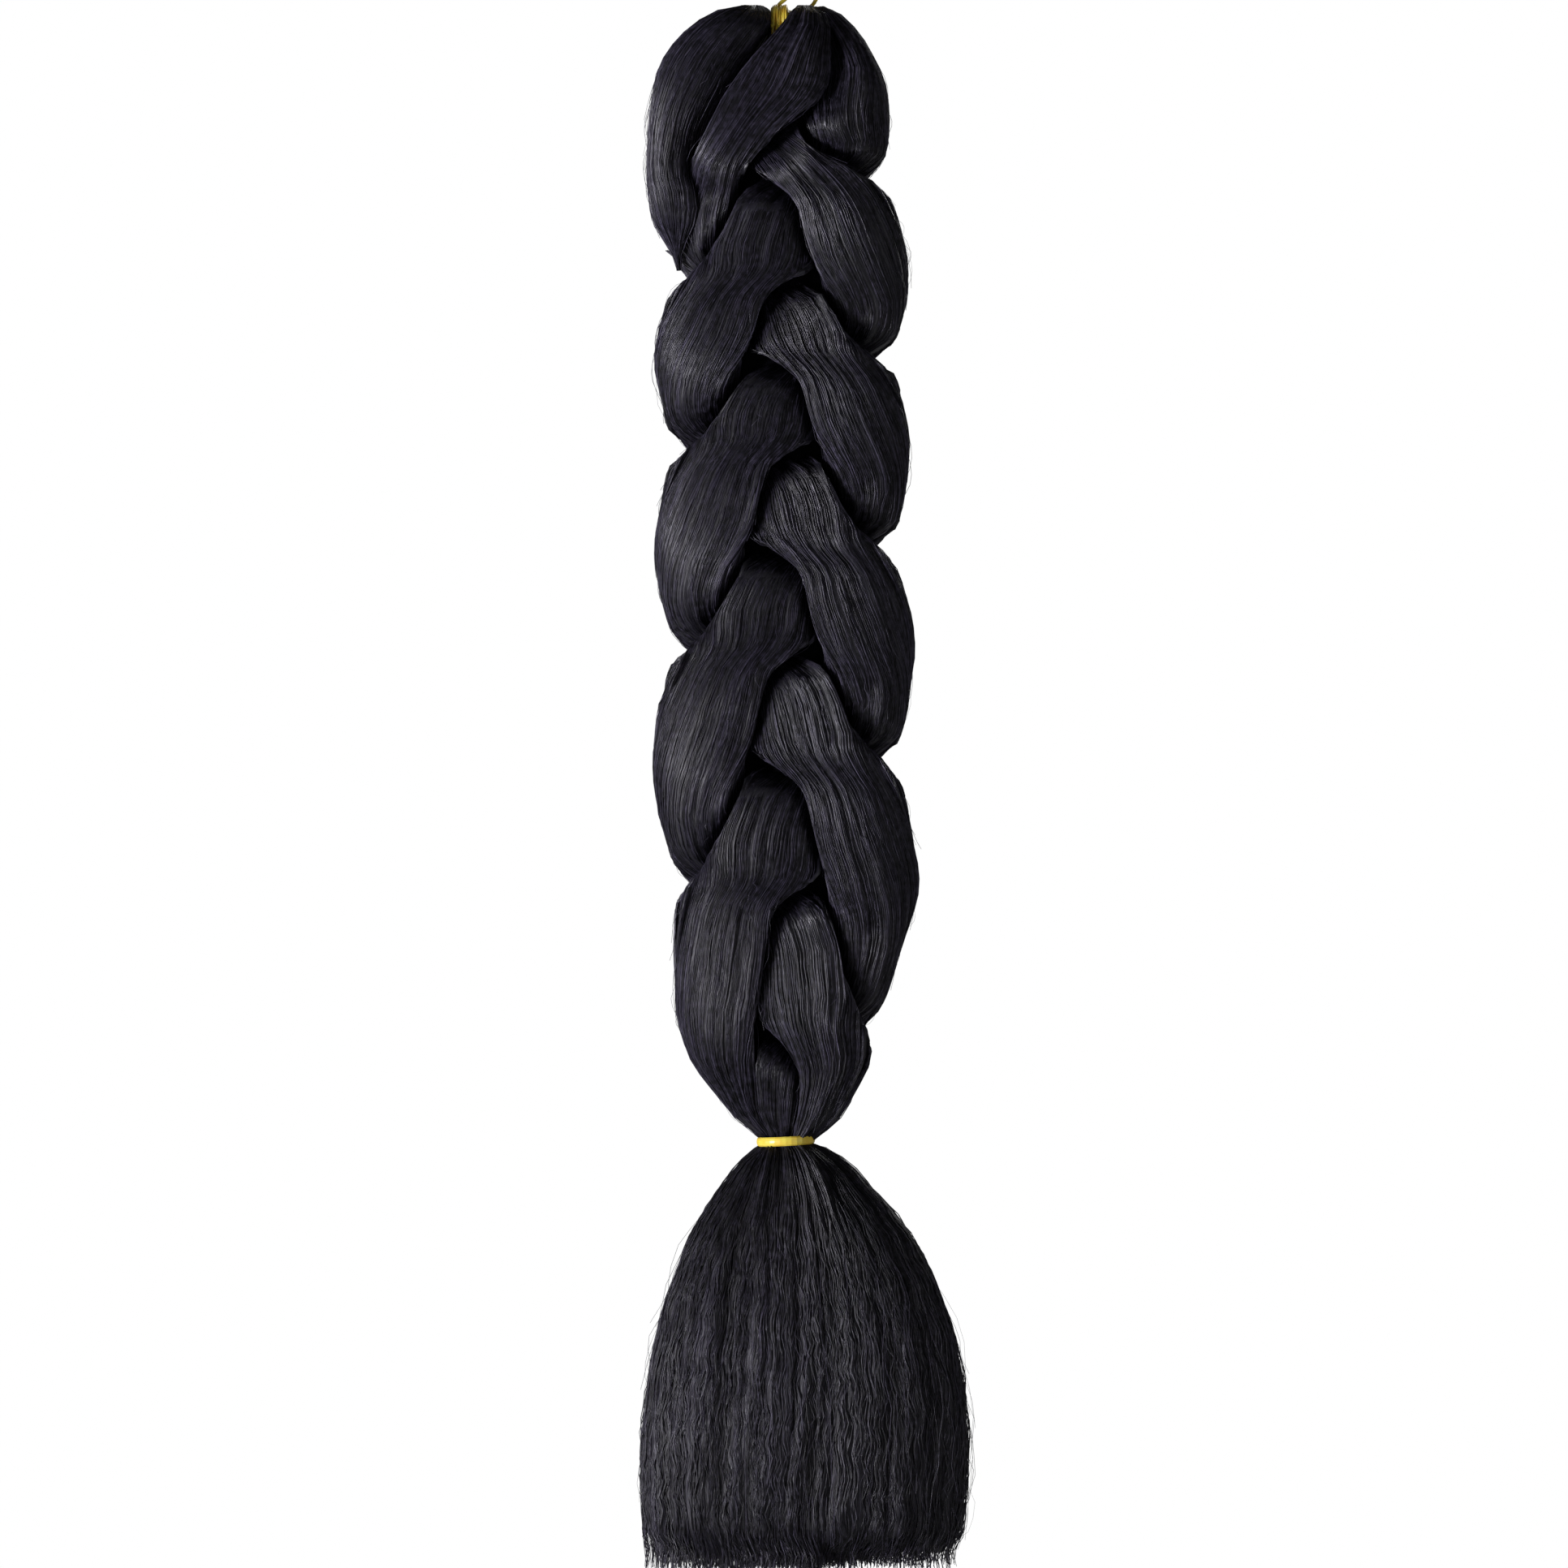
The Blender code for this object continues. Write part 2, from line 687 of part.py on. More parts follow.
def make_loop_tube(look):
    """The loop's round thread, kept as a guide that the wrapped turns are joined to."""
    units = (HOOK_OFFSET, NECK_DEPTH / 2, LOOP_RISE + LOOP_THREAD / 2)
    knots = [(i, *row) for i, row in enumerate(LOOP_ROUTE)]
    along = [curve(knots, c) for c in (1, 2, 3)]
    count = (len(knots) - 1) * LOOP_STEPS
    centres = []
    for i in range(count + 1):
        x, front, rise = (read(i / LOOP_STEPS) * unit for read, unit in zip(along, units))
        centres.append(Vector((WRAP_X + x, -front, HAIR_TOP + rise)))
    rings = []
    for i, centre in enumerate(centres):
        ahead = centres[min(i + 1, count)] - centres[max(i - 1, 0)]
        across = ahead.cross(Vector((0.0, 1.0, 0.0))).normalized()
        depthwise = across.cross(ahead).normalized()
        points = []
        for side in range(LOOP_SIDES):
            angle = 2 * math.pi * side / LOOP_SIDES
            swing = across * math.cos(angle) + depthwise * math.sin(angle)
            points.append(centre + swing * LOOP_THREAD / 2)
        rings.append(points)
    tube = loft("loop_thread_guide", rings, look)
    tube.hide_render = True
    tube.display_type = "WIRE"
    return tube


def make_tie(look):
    """The rounded band round the waist, a little lower on the left."""
    inner = WAIST_WIDTH / 2 + SEAT_GAP
    rings = []
    for i in range(TIE_POINTS):
        angle = 2 * math.pi * i / TIE_POINTS
        outward = Vector((math.cos(angle), math.sin(angle), 0.0))
        points = []
        for thick, tall in TIE_PROFILE:
            radius = inner + thick * TIE_THICKNESS
            points.append(outward * radius + Vector((0.0, 0.0, tall * TIE_HEIGHT)))
        rings.append(points)
    band = loft("tie_band", rings, look, capped=False)
    band.data.transform(Matrix.Rotation(-TIE_TILT, 4, "Y"))
    band.location = (WAIST_X, 0.0, WAIST_Z)
    return band


def tail_ring(share, last):
    """The tail's outline at a level: locks side by side, ragged at their tips."""
    shift, wide, deep = (read(share) for read in (tail_shift, tail_width, tail_depth))
    waist = TAIL_WAIST_FILL * WAIST_WIDTH / 2
    widened = smooth_step(share, TAIL_WAIST_LEVELS[1], TAIL_WAIST_LEVELS[-2])
    half_width = mix(waist, wide * TAIL_WIDTH / 2, widened)
    half_depth = mix(waist, deep * TAIL_DEPTH / 2, widened)
    centre = WAIST_X + shift * TAIL_WIDTH / 2
    relief = LOCK_RELIEF * smooth_step(share, 0.0, 0.5)
    count = TAIL_LOCKS * POINTS_PER_LOCK
    points = []
    for i in range(count):
        angle = 2 * math.pi * i / count
        crest = abs(math.cos(math.pi * i / POINTS_PER_LOCK))
        grown = 1.0 - relief * (1.0 - crest)
        cosine, sine = math.cos(angle), math.sin(angle)
        x = math.copysign(abs(cosine) ** TAIL_FLATNESS, cosine) * half_width * grown
        y = math.copysign(abs(sine) ** TAIL_FLATNESS, sine) * half_depth * grown
        z = WAIST_Z - SEAT_GAP - share * TAIL_LENGTH
        if last:
            z += TIP_NOTCH * (1.0 - crest) + TIP_SLOPE * (1.0 + cosine) / 2
            z += TIP_WAVE * math.sin(TIP_WAVES * angle)
        points.append(Vector((centre + x, y, z)))
    return points


def make_tail(look):
    start, end = TAIL_WAIST_LEVELS[-1], TAIL_SECTIONS[-2][0]
    shares = list(TAIL_WAIST_LEVELS)
    shares += [mix(start, end, (i + 1) / TAIL_LEVELS) for i in range(TAIL_LEVELS)]
    rings = [tail_ring(share, False) for share in shares]
    rings.append(tail_ring(1.0, True))
    return loft("tail", rings, look)


def main():
    clear_scene()
    hair = material("hair_black", (0.012, 0.011, 0.015), 0.42)
    rubber = material("elastic_yellow", (0.90, 0.62, 0.08), 0.38)
    mark = material("guide", (0.5, 0.5, 0.5), 0.5)
    cut_wrap_pocket(make_strands(hair), mark)
    make_neck(hair)
    make_hanging_elastic(rubber)
    make_tie(rubber)
    make_tail(hair)


main()
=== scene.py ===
"""Looks for the jumbo braiding hair: braid, tail, elastics, light and camera.

Metres, +Z up, the front of the braid towards -Y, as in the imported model. Every hair piece
starts from the solid that it stands for: the solid is read level by level and evened out,
and it is covered with fibres that run along it. The solids leave deep hollows beside the
crossings, so there the strands are brought out towards the plait's rounded outline, by
up to 22 mm, and differ from the solids by that much.
"""
import math

import bpy
import numpy as np
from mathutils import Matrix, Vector


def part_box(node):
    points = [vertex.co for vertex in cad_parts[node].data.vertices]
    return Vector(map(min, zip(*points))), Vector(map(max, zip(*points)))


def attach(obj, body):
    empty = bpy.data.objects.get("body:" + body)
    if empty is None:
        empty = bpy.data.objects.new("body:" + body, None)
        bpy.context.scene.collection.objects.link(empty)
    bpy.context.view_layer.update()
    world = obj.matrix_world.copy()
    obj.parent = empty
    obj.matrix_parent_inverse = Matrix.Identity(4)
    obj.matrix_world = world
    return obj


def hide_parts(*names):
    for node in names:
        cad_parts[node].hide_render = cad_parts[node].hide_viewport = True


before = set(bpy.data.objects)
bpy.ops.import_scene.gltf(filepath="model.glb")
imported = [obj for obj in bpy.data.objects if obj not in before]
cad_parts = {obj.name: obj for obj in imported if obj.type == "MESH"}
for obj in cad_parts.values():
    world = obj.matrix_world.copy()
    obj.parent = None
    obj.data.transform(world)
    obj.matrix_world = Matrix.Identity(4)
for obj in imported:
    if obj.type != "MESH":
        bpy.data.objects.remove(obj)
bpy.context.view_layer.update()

# The photograph's frame: its width in metres at the object, and its middle
VIEW_WIDTH = 0.6132
VIEW_X, VIEW_Z = -0.00635, -0.3295
CAMERA_DISTANCE = 4.0
SENSOR = 36.0

# How the solids are read: directions from a ring's middle, and lines down the form
DIRECTIONS = 240
LINES = 240
STRANDS = ("left_strand", "middle_strand", "right_strand")
HAIR_NODES = STRANDS + ("left_lock",)
# Levels: the space between them, and how deep and in how many steps the round top is cut
BRAID_SPACE, DOME_DEEP, DOME_STEPS = 0.0030, 0.012, 12
TAIL_SPACE, SHOULDER_DEEP, SHOULDER_STEPS = 0.0025, 0.004, 4

# How many fibres and loose fibres lie on each piece
BRAID_LINES, LOCK_LINES, TAIL_LINES = 330, 190, 860
BRAID_STRAYS, LOCK_STRAYS, TAIL_STRAYS = 640, 160, 700
TIP_COUNT = 2300
NECK_FIBRES = 160
# Points on a fibre are this far apart
BRAID_STEP, TAIL_STEP = 0.0064, 0.0054
# Half the thickness of a fibre, least and most
BRAID_THICK = (0.00009, 0.00022)
TAIL_THICK = (0.00010, 0.00024)
TIP_THICK = (0.00014, 0.00028)
STRAY_THICK = (0.00005, 0.00010)
# Loose fibres: shortest and longest, and how far they stand off
BRAID_STRAY = (0.006, 0.032), 0.0026
TAIL_STRAY = (0.02, 0.06), 0.0045
# Wisps of like tone round a piece
WISPS = 240
# Turns of thread round the neck in each of its two layers, and points on a turn
WINDINGS = 5
WINDING_POINTS = 28

# Where a strand goes under another it swells under it, and sinks just beside it;
# another strand within the probe's distance counts as lying on it
PRESS_PROBE = 0.0012
PRESS_SWELL = 0.0016
PRESS_SINK = 0.0050
# Pits between strands: how far below the top they start, what depth of them stays,
# and how much of the rest is filled
PIT_FROM = (0.030, 0.042)
PIT_KEPT = 0.0022
PIT_FILL = 0.93

# A fibre runs on straight under the strand that it comes out from
UNDER_REACH = 0.012
UNDER_SINK = 0.14
# A strand's hair goes on this far under the strand that covers it, and an open stretch
# shorter than the shortest run gets no fibres
TUCK = 0.005
SHORTEST_RUN = 0.014
# Painted shade: hair is painted darkest in a crevice; just below a crossing, given as levels
# down and their weight, it is painted darker too, as in the crossing's shadow
CREVICE_PAINTED_SHADE = 0.9
OVERHANG_PAINTED_SHADE = 0.65
OVERHANG = ((4, 1.0), (8, 0.8), (12, 0.5))
# These two run together below a height, with no crevice between them
MERGED_PAIR = {"left_lock", "middle_strand"}
MERGED_BELOW = -0.083
# How the lock narrows to its lower tip: over what height, and to what share
LOCK_TIP = (0.022, 0.14)

# The braid's middle, painted dark as shade: its half width and half depth as shares of the
# braid's, its painted shade tone, and the level that it starts at
CORE_WIDTH = 0.50
CORE_DEPTH = 0.42
CORE_SHADE = 0.1
CORE_TOP_LEVEL = 17
# The tail's body narrows over its last stretch to a share, under a ragged cut end
TAIL_TAPER = (0.010, 0.94)
TAIL_RAGGED = 0.0022
# Painted shade, darker under the tail's band: the darkest share, and where it ends down the hair
TAIL_BAND_SHADE = 0.5
TAIL_BAND_SHADE_FROM, TAIL_BAND_SHADE_TO = 0.01, 0.09

# Hair colours: the darkest, a streak of the mass, and a painted highlight: a fibre painted pale
# as if it catches the light
BLACK = (0.0018, 0.0015, 0.0034)
GREY = (0.015, 0.013, 0.026)
PALE_HIGHLIGHT = (0.130, 0.116, 0.180)
TAIL_PALE_HIGHLIGHT = (0.110, 0.098, 0.150)

rng = np.random.default_rng(20)


def smooth_step(value, start, end):
    t = np.clip((value - start) / (end - start), 0.0, 1.0)
    return t * t * (3.0 - 2.0 * t)


def gaussian(values, reach, axis, closed):
    """Evens out a grid of values along one axis, over a reach counted in samples."""
    half = max(int(math.ceil(reach * 3)), 1)
    weights = np.exp(-0.5 * (np.arange(-half, half + 1) / reach) ** 2)
    weights /= weights.sum()
    pads = [(0, 0)] * values.ndim
    pads[axis] = (half, half)
    padded = np.pad(values, pads, mode="wrap" if closed else "edge")
    count = values.shape[axis]
    total = np.zeros_like(values)
    for i, weight in enumerate(weights):
        total += weight * np.take(padded, np.arange(i, i + count), axis=axis)
    return total


NOISE_TABLES = {}


def lattice_noise(across, along, seed, closed=0):
    """Smooth noise from -1 to 1 over a plane; it repeats across after closed cells."""
    if seed not in NOISE_TABLES:
        NOISE_TABLES[seed] = np.random.default_rng(seed).uniform(-1.0, 1.0, (1024, 257))
    table = NOISE_TABLES[seed]
    x0, y0 = np.floor(across).astype(int), np.floor(along).astype(int)
    fx, fy = across - x0, along - y0
    fx, fy = fx * fx * (3 - 2 * fx), fy * fy * (3 - 2 * fy)
    span = closed if closed else 1024

    def at(x, y):
        return table[x % span, y % 257]

    top = at(x0, y0) * (1 - fx) + at(x0 + 1, y0) * fx
    low = at(x0, y0 + 1) * (1 - fx) + at(x0 + 1, y0 + 1) * fx
    return top * (1 - fy) + low * fy


def node_triangles(name):
    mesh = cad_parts[name].data
    mesh.calc_loop_triangles()
    points = np.empty(len(mesh.vertices) * 3)
    mesh.vertices.foreach_get("co", points)
    corners = np.empty(len(mesh.loop_triangles) * 3, dtype=np.int32)
    mesh.loop_triangles.foreach_get("vertices", corners)
    return points.reshape(-1, 3)[corners.reshape(-1, 3)]


def cut_level(triangles, height):
    """The outline of a solid at a height, as the two ends of each short stretch."""
    rise = triangles[:, :, 2] - height
    above = rise > 0
    cut = above.any(axis=1) & ~above.all(axis=1)
    triangles, rise, above = triangles[cut], rise[cut], above[cut]
    crossed, points = [], []
    for a, b in ((0, 1), (1, 2), (2, 0)):
        over = above[:, a] != above[:, b]
        drop = np.where(over, rise[:, a] - rise[:, b], 1.0)
        share = (rise[:, a] / drop)[:, None]
        crossed.append(over[:, None])
        points.append((triangles[:, a] + (triangles[:, b] - triangles[:, a]) * share)[:, :2])
    starts = np.where(crossed[0], points[0], points[1])
    ends = np.where(crossed[2], points[2], points[1])
    return starts, ends


def reach_from(centre, starts, ends, angles):
    """How far the outline is from a centre in each direction; the front is at 90 degrees."""
    ray = np.stack([np.cos(angles), -np.sin(angles)], axis=1)
    step = ends - starts
    off = starts - centre
    turn = ray[:, None, 0] * step[None, :, 1] - ray[:, None, 1] * step[None, :, 0]
    turn = np.where(np.abs(turn) < 1e-12, 1e-12, turn)
    far = (off[:, 0] * step[:, 1] - off[:, 1] * step[:, 0])[None, :] / turn
    share = (off[None, :, 0] * ray[:, None, 1] - off[None, :, 1] * ray[:, None, 0]) / turn
    hit = (far > 1e-6) & (share > -1e-4) & (share < 1.0001)
    return np.where(hit, far, np.inf).min(axis=1)


class Form:
    """A hair solid's outer form: evened rings, and lines that run down it."""

    def __init__(self, name, heights, round_reach, down_reach):
        triangles = node_triangles(name)
        angles = np.arange(DIRECTIONS) * 2 * math.pi / DIRECTIONS
        centres, reaches = [], []
        for height in heights:
            starts, ends = cut_level(triangles, height)
            size = np.linalg.norm(ends - starts, axis=1)[:, None]
            centre = ((starts + ends) / 2 * size).sum(axis=0) / size.sum()
            reach = reach_from(centre, starts, ends, angles)
            known = np.isfinite(reach)
            reach = np.interp(angles, angles[known], reach[known], period=2 * math.pi)
            centres.append(centre)
            reaches.append(reach)
        self.name = name
        self.heights = np.array(heights)
        self.centres = gaussian(np.array(centres), down_reach, 0, False)
        reaches = gaussian(np.array(reaches), round_reach, 1, True)
        self.reaches = gaussian(reaches, down_reach, 0, False)
        self.lay_lines(angles)

    def lay_lines(self, angles):
        """Points on each ring that share its front and its back out evenly."""
        x = self.centres[:, :1] + self.reaches * np.cos(angles)
        y = self.centres[:, 1:] - self.reaches * np.sin(angles)
        x, y = np.hstack([x, x[:, :1]]), np.hstack([y, y[:, :1]])
        run = np.hypot(np.diff(x, axis=1), np.diff(y, axis=1))
        length = np.hstack([np.zeros((len(x), 1)), np.cumsum(run, axis=1)])
        middle = DIRECTIONS // 2
        half = LINES // 2
        self.girth = length[:, -1]
        rows = []
        for k in range(len(x)):
            front = np.linspace(0.0, length[k, middle], half, endpoint=False)
            back = np.linspace(length[k, middle], length[k, -1], half, endpoint=False)
            places = np.concatenate([front, back])
            px = np.interp(places, length[k], x[k])
            py = np.interp(places, length[k], y[k])
            rows.append(np.stack([px, py], axis=1))
        grid = np.zeros((len(x), LINES, 3))
        grid[:, :, :2] = np.array(rows)
        grid[:, :, 2] = self.heights[:, None]
        self.finish_grid(grid)

    def finish_grid(self, grid):
        """Keeps the points, which way is outward, and the distance down the form."""
        self.grid = grid
        around = np.roll(grid, -1, axis=1) - np.roll(grid, 1, axis=1)
        down = np.gradient(grid, axis=0)
        outward = np.cross(around, down)
        outward /= np.maximum(np.linalg.norm(outward, axis=2, keepdims=True), 1e-12)
        self.outward = outward
        stretch = np.linalg.norm(np.diff(grid, axis=0), axis=2).mean(axis=1)
        self.along = np.concatenate([[0.0], np.cumsum(stretch)])

    def swell(self, amount):
        """Moves the form outward by a distance at each level and line."""
        self.grid = self.grid + self.outward * amount[:, :, None]

    def draw_in(self, height, least):
        """Narrows the form towards its lower end, over a height."""
        low = self.heights[-1]
        kept = least + (1.0 - least) * smooth_step(self.heights, low, low + height)
        middle = self.grid.mean(axis=1, keepdims=True)
        self.grid = middle + (self.grid - middle) * kept[:, None, None]

    def level_of(self, along):
        return np.interp(along, self.along, np.arange(len(self.along)))

    def sample(self, values, line, level):
        """Values of the grid at shares of a line round the form and levels down it."""
        line = np.mod(line, LINES)
        a, k = np.floor(line).astype(int), np.floor(level).astype(int)
        k = np.clip(k, 0, len(self.heights) - 2)
        aside, below = (line - a)[..., None], (level - k)[..., None]
        b = (a + 1) % LINES
        a = a % LINES
        upper = values[k, a] * (1 - aside) + values[k, b] * aside
        lower = values[k + 1, a] * (1 - aside) + values[k + 1, b] * aside
        return upper * (1 - below) + lower * below

    def holds(self, points, level):
        """Whether points at a level lie inside the form."""
        off = points - self.centres[level]
        angle = np.mod(np.arctan2(-off[:, 1], off[:, 0]), 2 * math.pi)
        angles = np.arange(DIRECTIONS) * 2 * math.pi / DIRECTIONS
        reach = np.interp(angle, angles, self.reaches[level], period=2 * math.pi)
        return np.hypot(off[:, 0], off[:, 1]) < reach


# Relief of the hair: locks and fine strands that lie side by side and drift together.
# Columns: width of one in metres, its length in metres, height in metres, seed
BRAID_RELIEF = [
    (0.0085, 0.100, 0.00060, 11),
    (0.0036, 0.060, 0.00045, 12),
    (0.0016, 0.034, 0.00024, 13),
]
TAIL_RELIEF = [
    (0.0120, 0.110, 0.00150, 21),
    (0.0055, 0.070, 0.00095, 22),
    (0.0023, 0.040, 0.00045, 23),
]
DRIFT_CELLS = 12


def relief_height(form, rows, line, along):
    """Height of the relief: round locks with narrow valleys between them."""
    line = np.mod(line, LINES)
    total = np.zeros(np.broadcast(line, along).shape)
    mean_girth = float(np.median(form.girth))
    for width, length, height, seed in rows:
        cells = max(int(mean_girth / width), 4)
        turn = line / LINES
        drift = lattice_noise(turn * DRIFT_CELLS, along / (length * 1.4), seed + 100, DRIFT_CELLS)
        locks = lattice_noise(turn * cells + 0.6 * drift, along / length, seed, cells)
        total += height * (2.0 * np.abs(locks) - 0.6)
    return total


def crest_of(rows, raised):
    """A relief height as a share: 0 in the deepest valley, 1 on the highest crest."""
    full = sum(row[2] for row in rows)
    return np.clip((raised / full + 0.6) / 1.4, 0.0, 1.0)


def new_mesh(name, points, faces):
    mesh = bpy.data.meshes.new(name)
    mesh.vertices.add(len(points))
    mesh.vertices.foreach_set("co", np.asarray(points, dtype=np.float32).ravel())
    sizes = np.array([len(face) for face in faces], dtype=np.int32)
    flat = np.fromiter((v for face in faces for v in face), dtype=np.int32)
    mesh.loops.add(len(flat))
    mesh.loops.foreach_set("vertex_index", flat)
    mesh.polygons.add(len(faces))
    starts = np.concatenate([[0], np.cumsum(sizes)[:-1]]).astype(np.int32)
    mesh.polygons.foreach_set("loop_start", starts)
    mesh.update(calc_edges=True)
    mesh.validate()
    return mesh


def new_object(name, mesh):
    made = bpy.data.objects.new(name, mesh)
    bpy.context.collection.objects.link(made)
    return made


def store(mesh, name, kind, values):
    """Keeps a value for each point of a mesh under a name."""
    field = mesh.attributes.new(name, kind, "POINT")
    key = "vector" if kind == "FLOAT_VECTOR" else "value"
    field.data.foreach_set(key, np.asarray(values, dtype=np.float32).ravel())


def closed_tube(name, grid, along, radius, tone, look):
    """A closed body through rings of points, with its fibre direction kept as flow."""
    count, width = grid.shape[:2]
    top = grid[0].mean(axis=0) + np.array([0.0, 0.0, 0.0001])
    low = grid[-1].mean(axis=0)
    points = np.vstack([grid.reshape(-1, 3), top, low])
    faces = []
    for k in range(count - 1):
        for i in range(width):
            j = (i + 1) % width
            a, b = k * width + i, k * width + j
            faces.append((a, b, b + width, a + width))
    hub = count * width
    last = (count - 1) * width
    for i in range(width):
        j = (i + 1) % width
        faces.append((hub, j, i))
        faces.append((hub + 1, last + i, last + j))
    mesh = new_mesh(name, points, faces)
    turn = np.arange(width) * 2 * math.pi / width
    flow = np.zeros((count, width, 3))
    flow[:, :, 0] = radius * np.cos(turn)
    flow[:, :, 1] = radius * np.sin(turn)
    flow[:, :, 2] = along[:, None]
    caps = [[0.0, 0.0, along[0]], [0.0, 0.0, along[-1]]]
    store(mesh, "flow", "FLOAT_VECTOR", np.vstack([flow.reshape(-1, 3), caps]))
    ends = [tone[0].mean(), tone[-1].mean()]
    store(mesh, "tone", "FLOAT", np.concatenate([tone.ravel(), ends]))
    mesh.shade_smooth()
    mesh.materials.append(look)
    return new_object(name, mesh)


def hair_body(name, form, rows, look, sink, shade, stride):
    """The hair's closed outer form, with its locks and strands raised."""
    line = np.arange(LINES)[None, :]
    relief = relief_height(form, rows, line, form.along[:, None])
    ends = smooth_step(np.arange(len(form.heights)), 0, 6)[:, None]
    raised = (relief - sink) * ends
    grid = form.grid + form.outward * raised[:, :, None]
    # Painted shade: the given shade map, and darker in the valleys between locks
    tone = shade * (0.25 + 0.75 * crest_of(rows, relief))
    radius = float(np.median(form.girth)) / (2 * math.pi)
    picked = slice(None, None, stride)
    return closed_tube(name, grid[:, picked], form.along, radius, tone[:, picked], look)


def link(tree, start, end):
    tree.links.new(start, end)


def socket(tree, name, kind, way, value=None):
    made = tree.interface.new_socket(name=name, in_out=way, socket_type=kind)
    if value is not None:
        made.default_value = value
    return made


def math_node(tree, operation, first, second):
    node = tree.nodes.new("ShaderNodeMath")
    node.operation = operation
    for place, value in enumerate((first, second)):
        if isinstance(value, (int, float)):
            node.inputs[place].default_value = value
        else:
            link(tree, value, node.inputs[place])
    return node.outputs[0]


def vector_node(tree, operation, first, second):
    node = tree.nodes.new("ShaderNodeVectorMath")
    node.operation = operation
    for place, value in enumerate((first, second)):
        if isinstance(value, tuple):
            node.inputs[place].default_value = value
        else:
            link(tree, value, node.inputs[place])
    return node.outputs[0]


def fibre_tree():
    """Turns guide lines into closed thin fibres with a little frizz."""
    tree = bpy.data.node_groups.new("lay_fibres", "GeometryNodeTree")
    socket(tree, "Guides", "NodeSocketGeometry", "INPUT")
    socket(tree, "Thickness", "NodeSocketFloat", "INPUT", 1.0)
    socket(tree, "Frizz", "NodeSocketFloat", "INPUT", 0.0003)
    socket(tree, "Frizz per metre", "NodeSocketFloat", "INPUT", 60.0)
    socket(tree, "Sides", "NodeSocketInt", "INPUT", 3)
    socket(tree, "Seed", "NodeSocketFloat", "INPUT", 1.0)
    socket(tree, "Finish", "NodeSocketMaterial", "INPUT")
    socket(tree, "Fibres", "NodeSocketGeometry", "OUTPUT")
    nodes = tree.nodes
    given = nodes.new("NodeGroupInput")
    made = nodes.new("NodeGroupOutput")

    def named(name):
        node = nodes.new("GeometryNodeInputNamedAttribute")
        node.data_type = "FLOAT"
        node.inputs["Name"].default_value = name
        return node.outputs["Attribute"]

    curves = nodes.new("GeometryNodeMeshToCurve")
    link(tree, given.outputs["Guides"], curves.inputs["Mesh"])
    place = nodes.new("GeometryNodeInputPosition")
    noise = nodes.new("ShaderNodeTexNoise")
    noise.noise_dimensions = "4D"
    noise.inputs["Detail"].default_value = 1.0
    link(tree, place.outputs[0], noise.inputs["Vector"])
    link(tree, given.outputs["Frizz per metre"], noise.inputs["Scale"])
    own = math_node(tree, "MULTIPLY", named("fibre"), 9.0)
    link(tree, math_node(tree, "ADD", own, given.outputs["Seed"]), noise.inputs["W"])
    swing = vector_node(tree, "SUBTRACT", noise.outputs["Color"], (0.5, 0.5, 0.5))
    amount = math_node(tree, "MULTIPLY", named("loose"), given.outputs["Frizz"])
    scaled = nodes.new("ShaderNodeVectorMath")
    scaled.operation = "SCALE"
    link(tree, swing, scaled.inputs[0])
    link(tree, amount, scaled.inputs["Scale"])
    moved = nodes.new("GeometryNodeSetPosition")
    link(tree, curves.outputs["Curve"], moved.inputs["Geometry"])
    link(tree, scaled.outputs[0], moved.inputs["Offset"])
    ring = nodes.new("GeometryNodeCurvePrimitiveCircle")
    ring.inputs["Radius"].default_value = 1.0
    link(tree, given.outputs["Sides"], ring.inputs["Resolution"])
    tubes = nodes.new("GeometryNodeCurveToMesh")
    tubes.inputs["Fill Caps"].default_value = True
    thick = math_node(tree, "MULTIPLY", named("thick"), given.outputs["Thickness"])
    link(tree, moved.outputs[0], tubes.inputs["Curve"])
    link(tree, ring.outputs["Curve"], tubes.inputs["Profile Curve"])
    link(tree, thick, tubes.inputs["Scale"])
    soft = nodes.new("GeometryNodeSetShadeSmooth")
    link(tree, tubes.outputs["Mesh"], soft.inputs["Geometry"])
    real = nodes.new("GeometryNodeRealizeInstances")
    link(tree, soft.outputs[0], real.inputs["Geometry"])
    finish = nodes.new("GeometryNodeSetMaterial")
    link(tree, real.outputs[0], finish.inputs["Geometry"])
    link(tree, given.outputs["Finish"], finish.inputs["Material"])
    link(tree, finish.outputs[0], made.inputs["Fibres"])
    return tree


def grow(name, guide_mesh, tree, values):
    """Runs a tree over a guide mesh and keeps the result as a plain mesh."""
    holder = new_object(name, guide_mesh)
    modifier = holder.modifiers.new("grow", "NODES")
    modifier.node_group = tree
    for item in tree.interface.items_tree:
        if item.item_type == "SOCKET" and item.in_out == "INPUT" and item.name in values:
            modifier[item.identifier] = values[item.name]
    holder.update_tag()
    graph = bpy.context.evaluated_depsgraph_get()
    mesh = bpy.data.meshes.new_from_object(holder.evaluated_get(graph))
    holder.modifiers.remove(modifier)
    holder.data = mesh
    mesh.name = name
    return holder


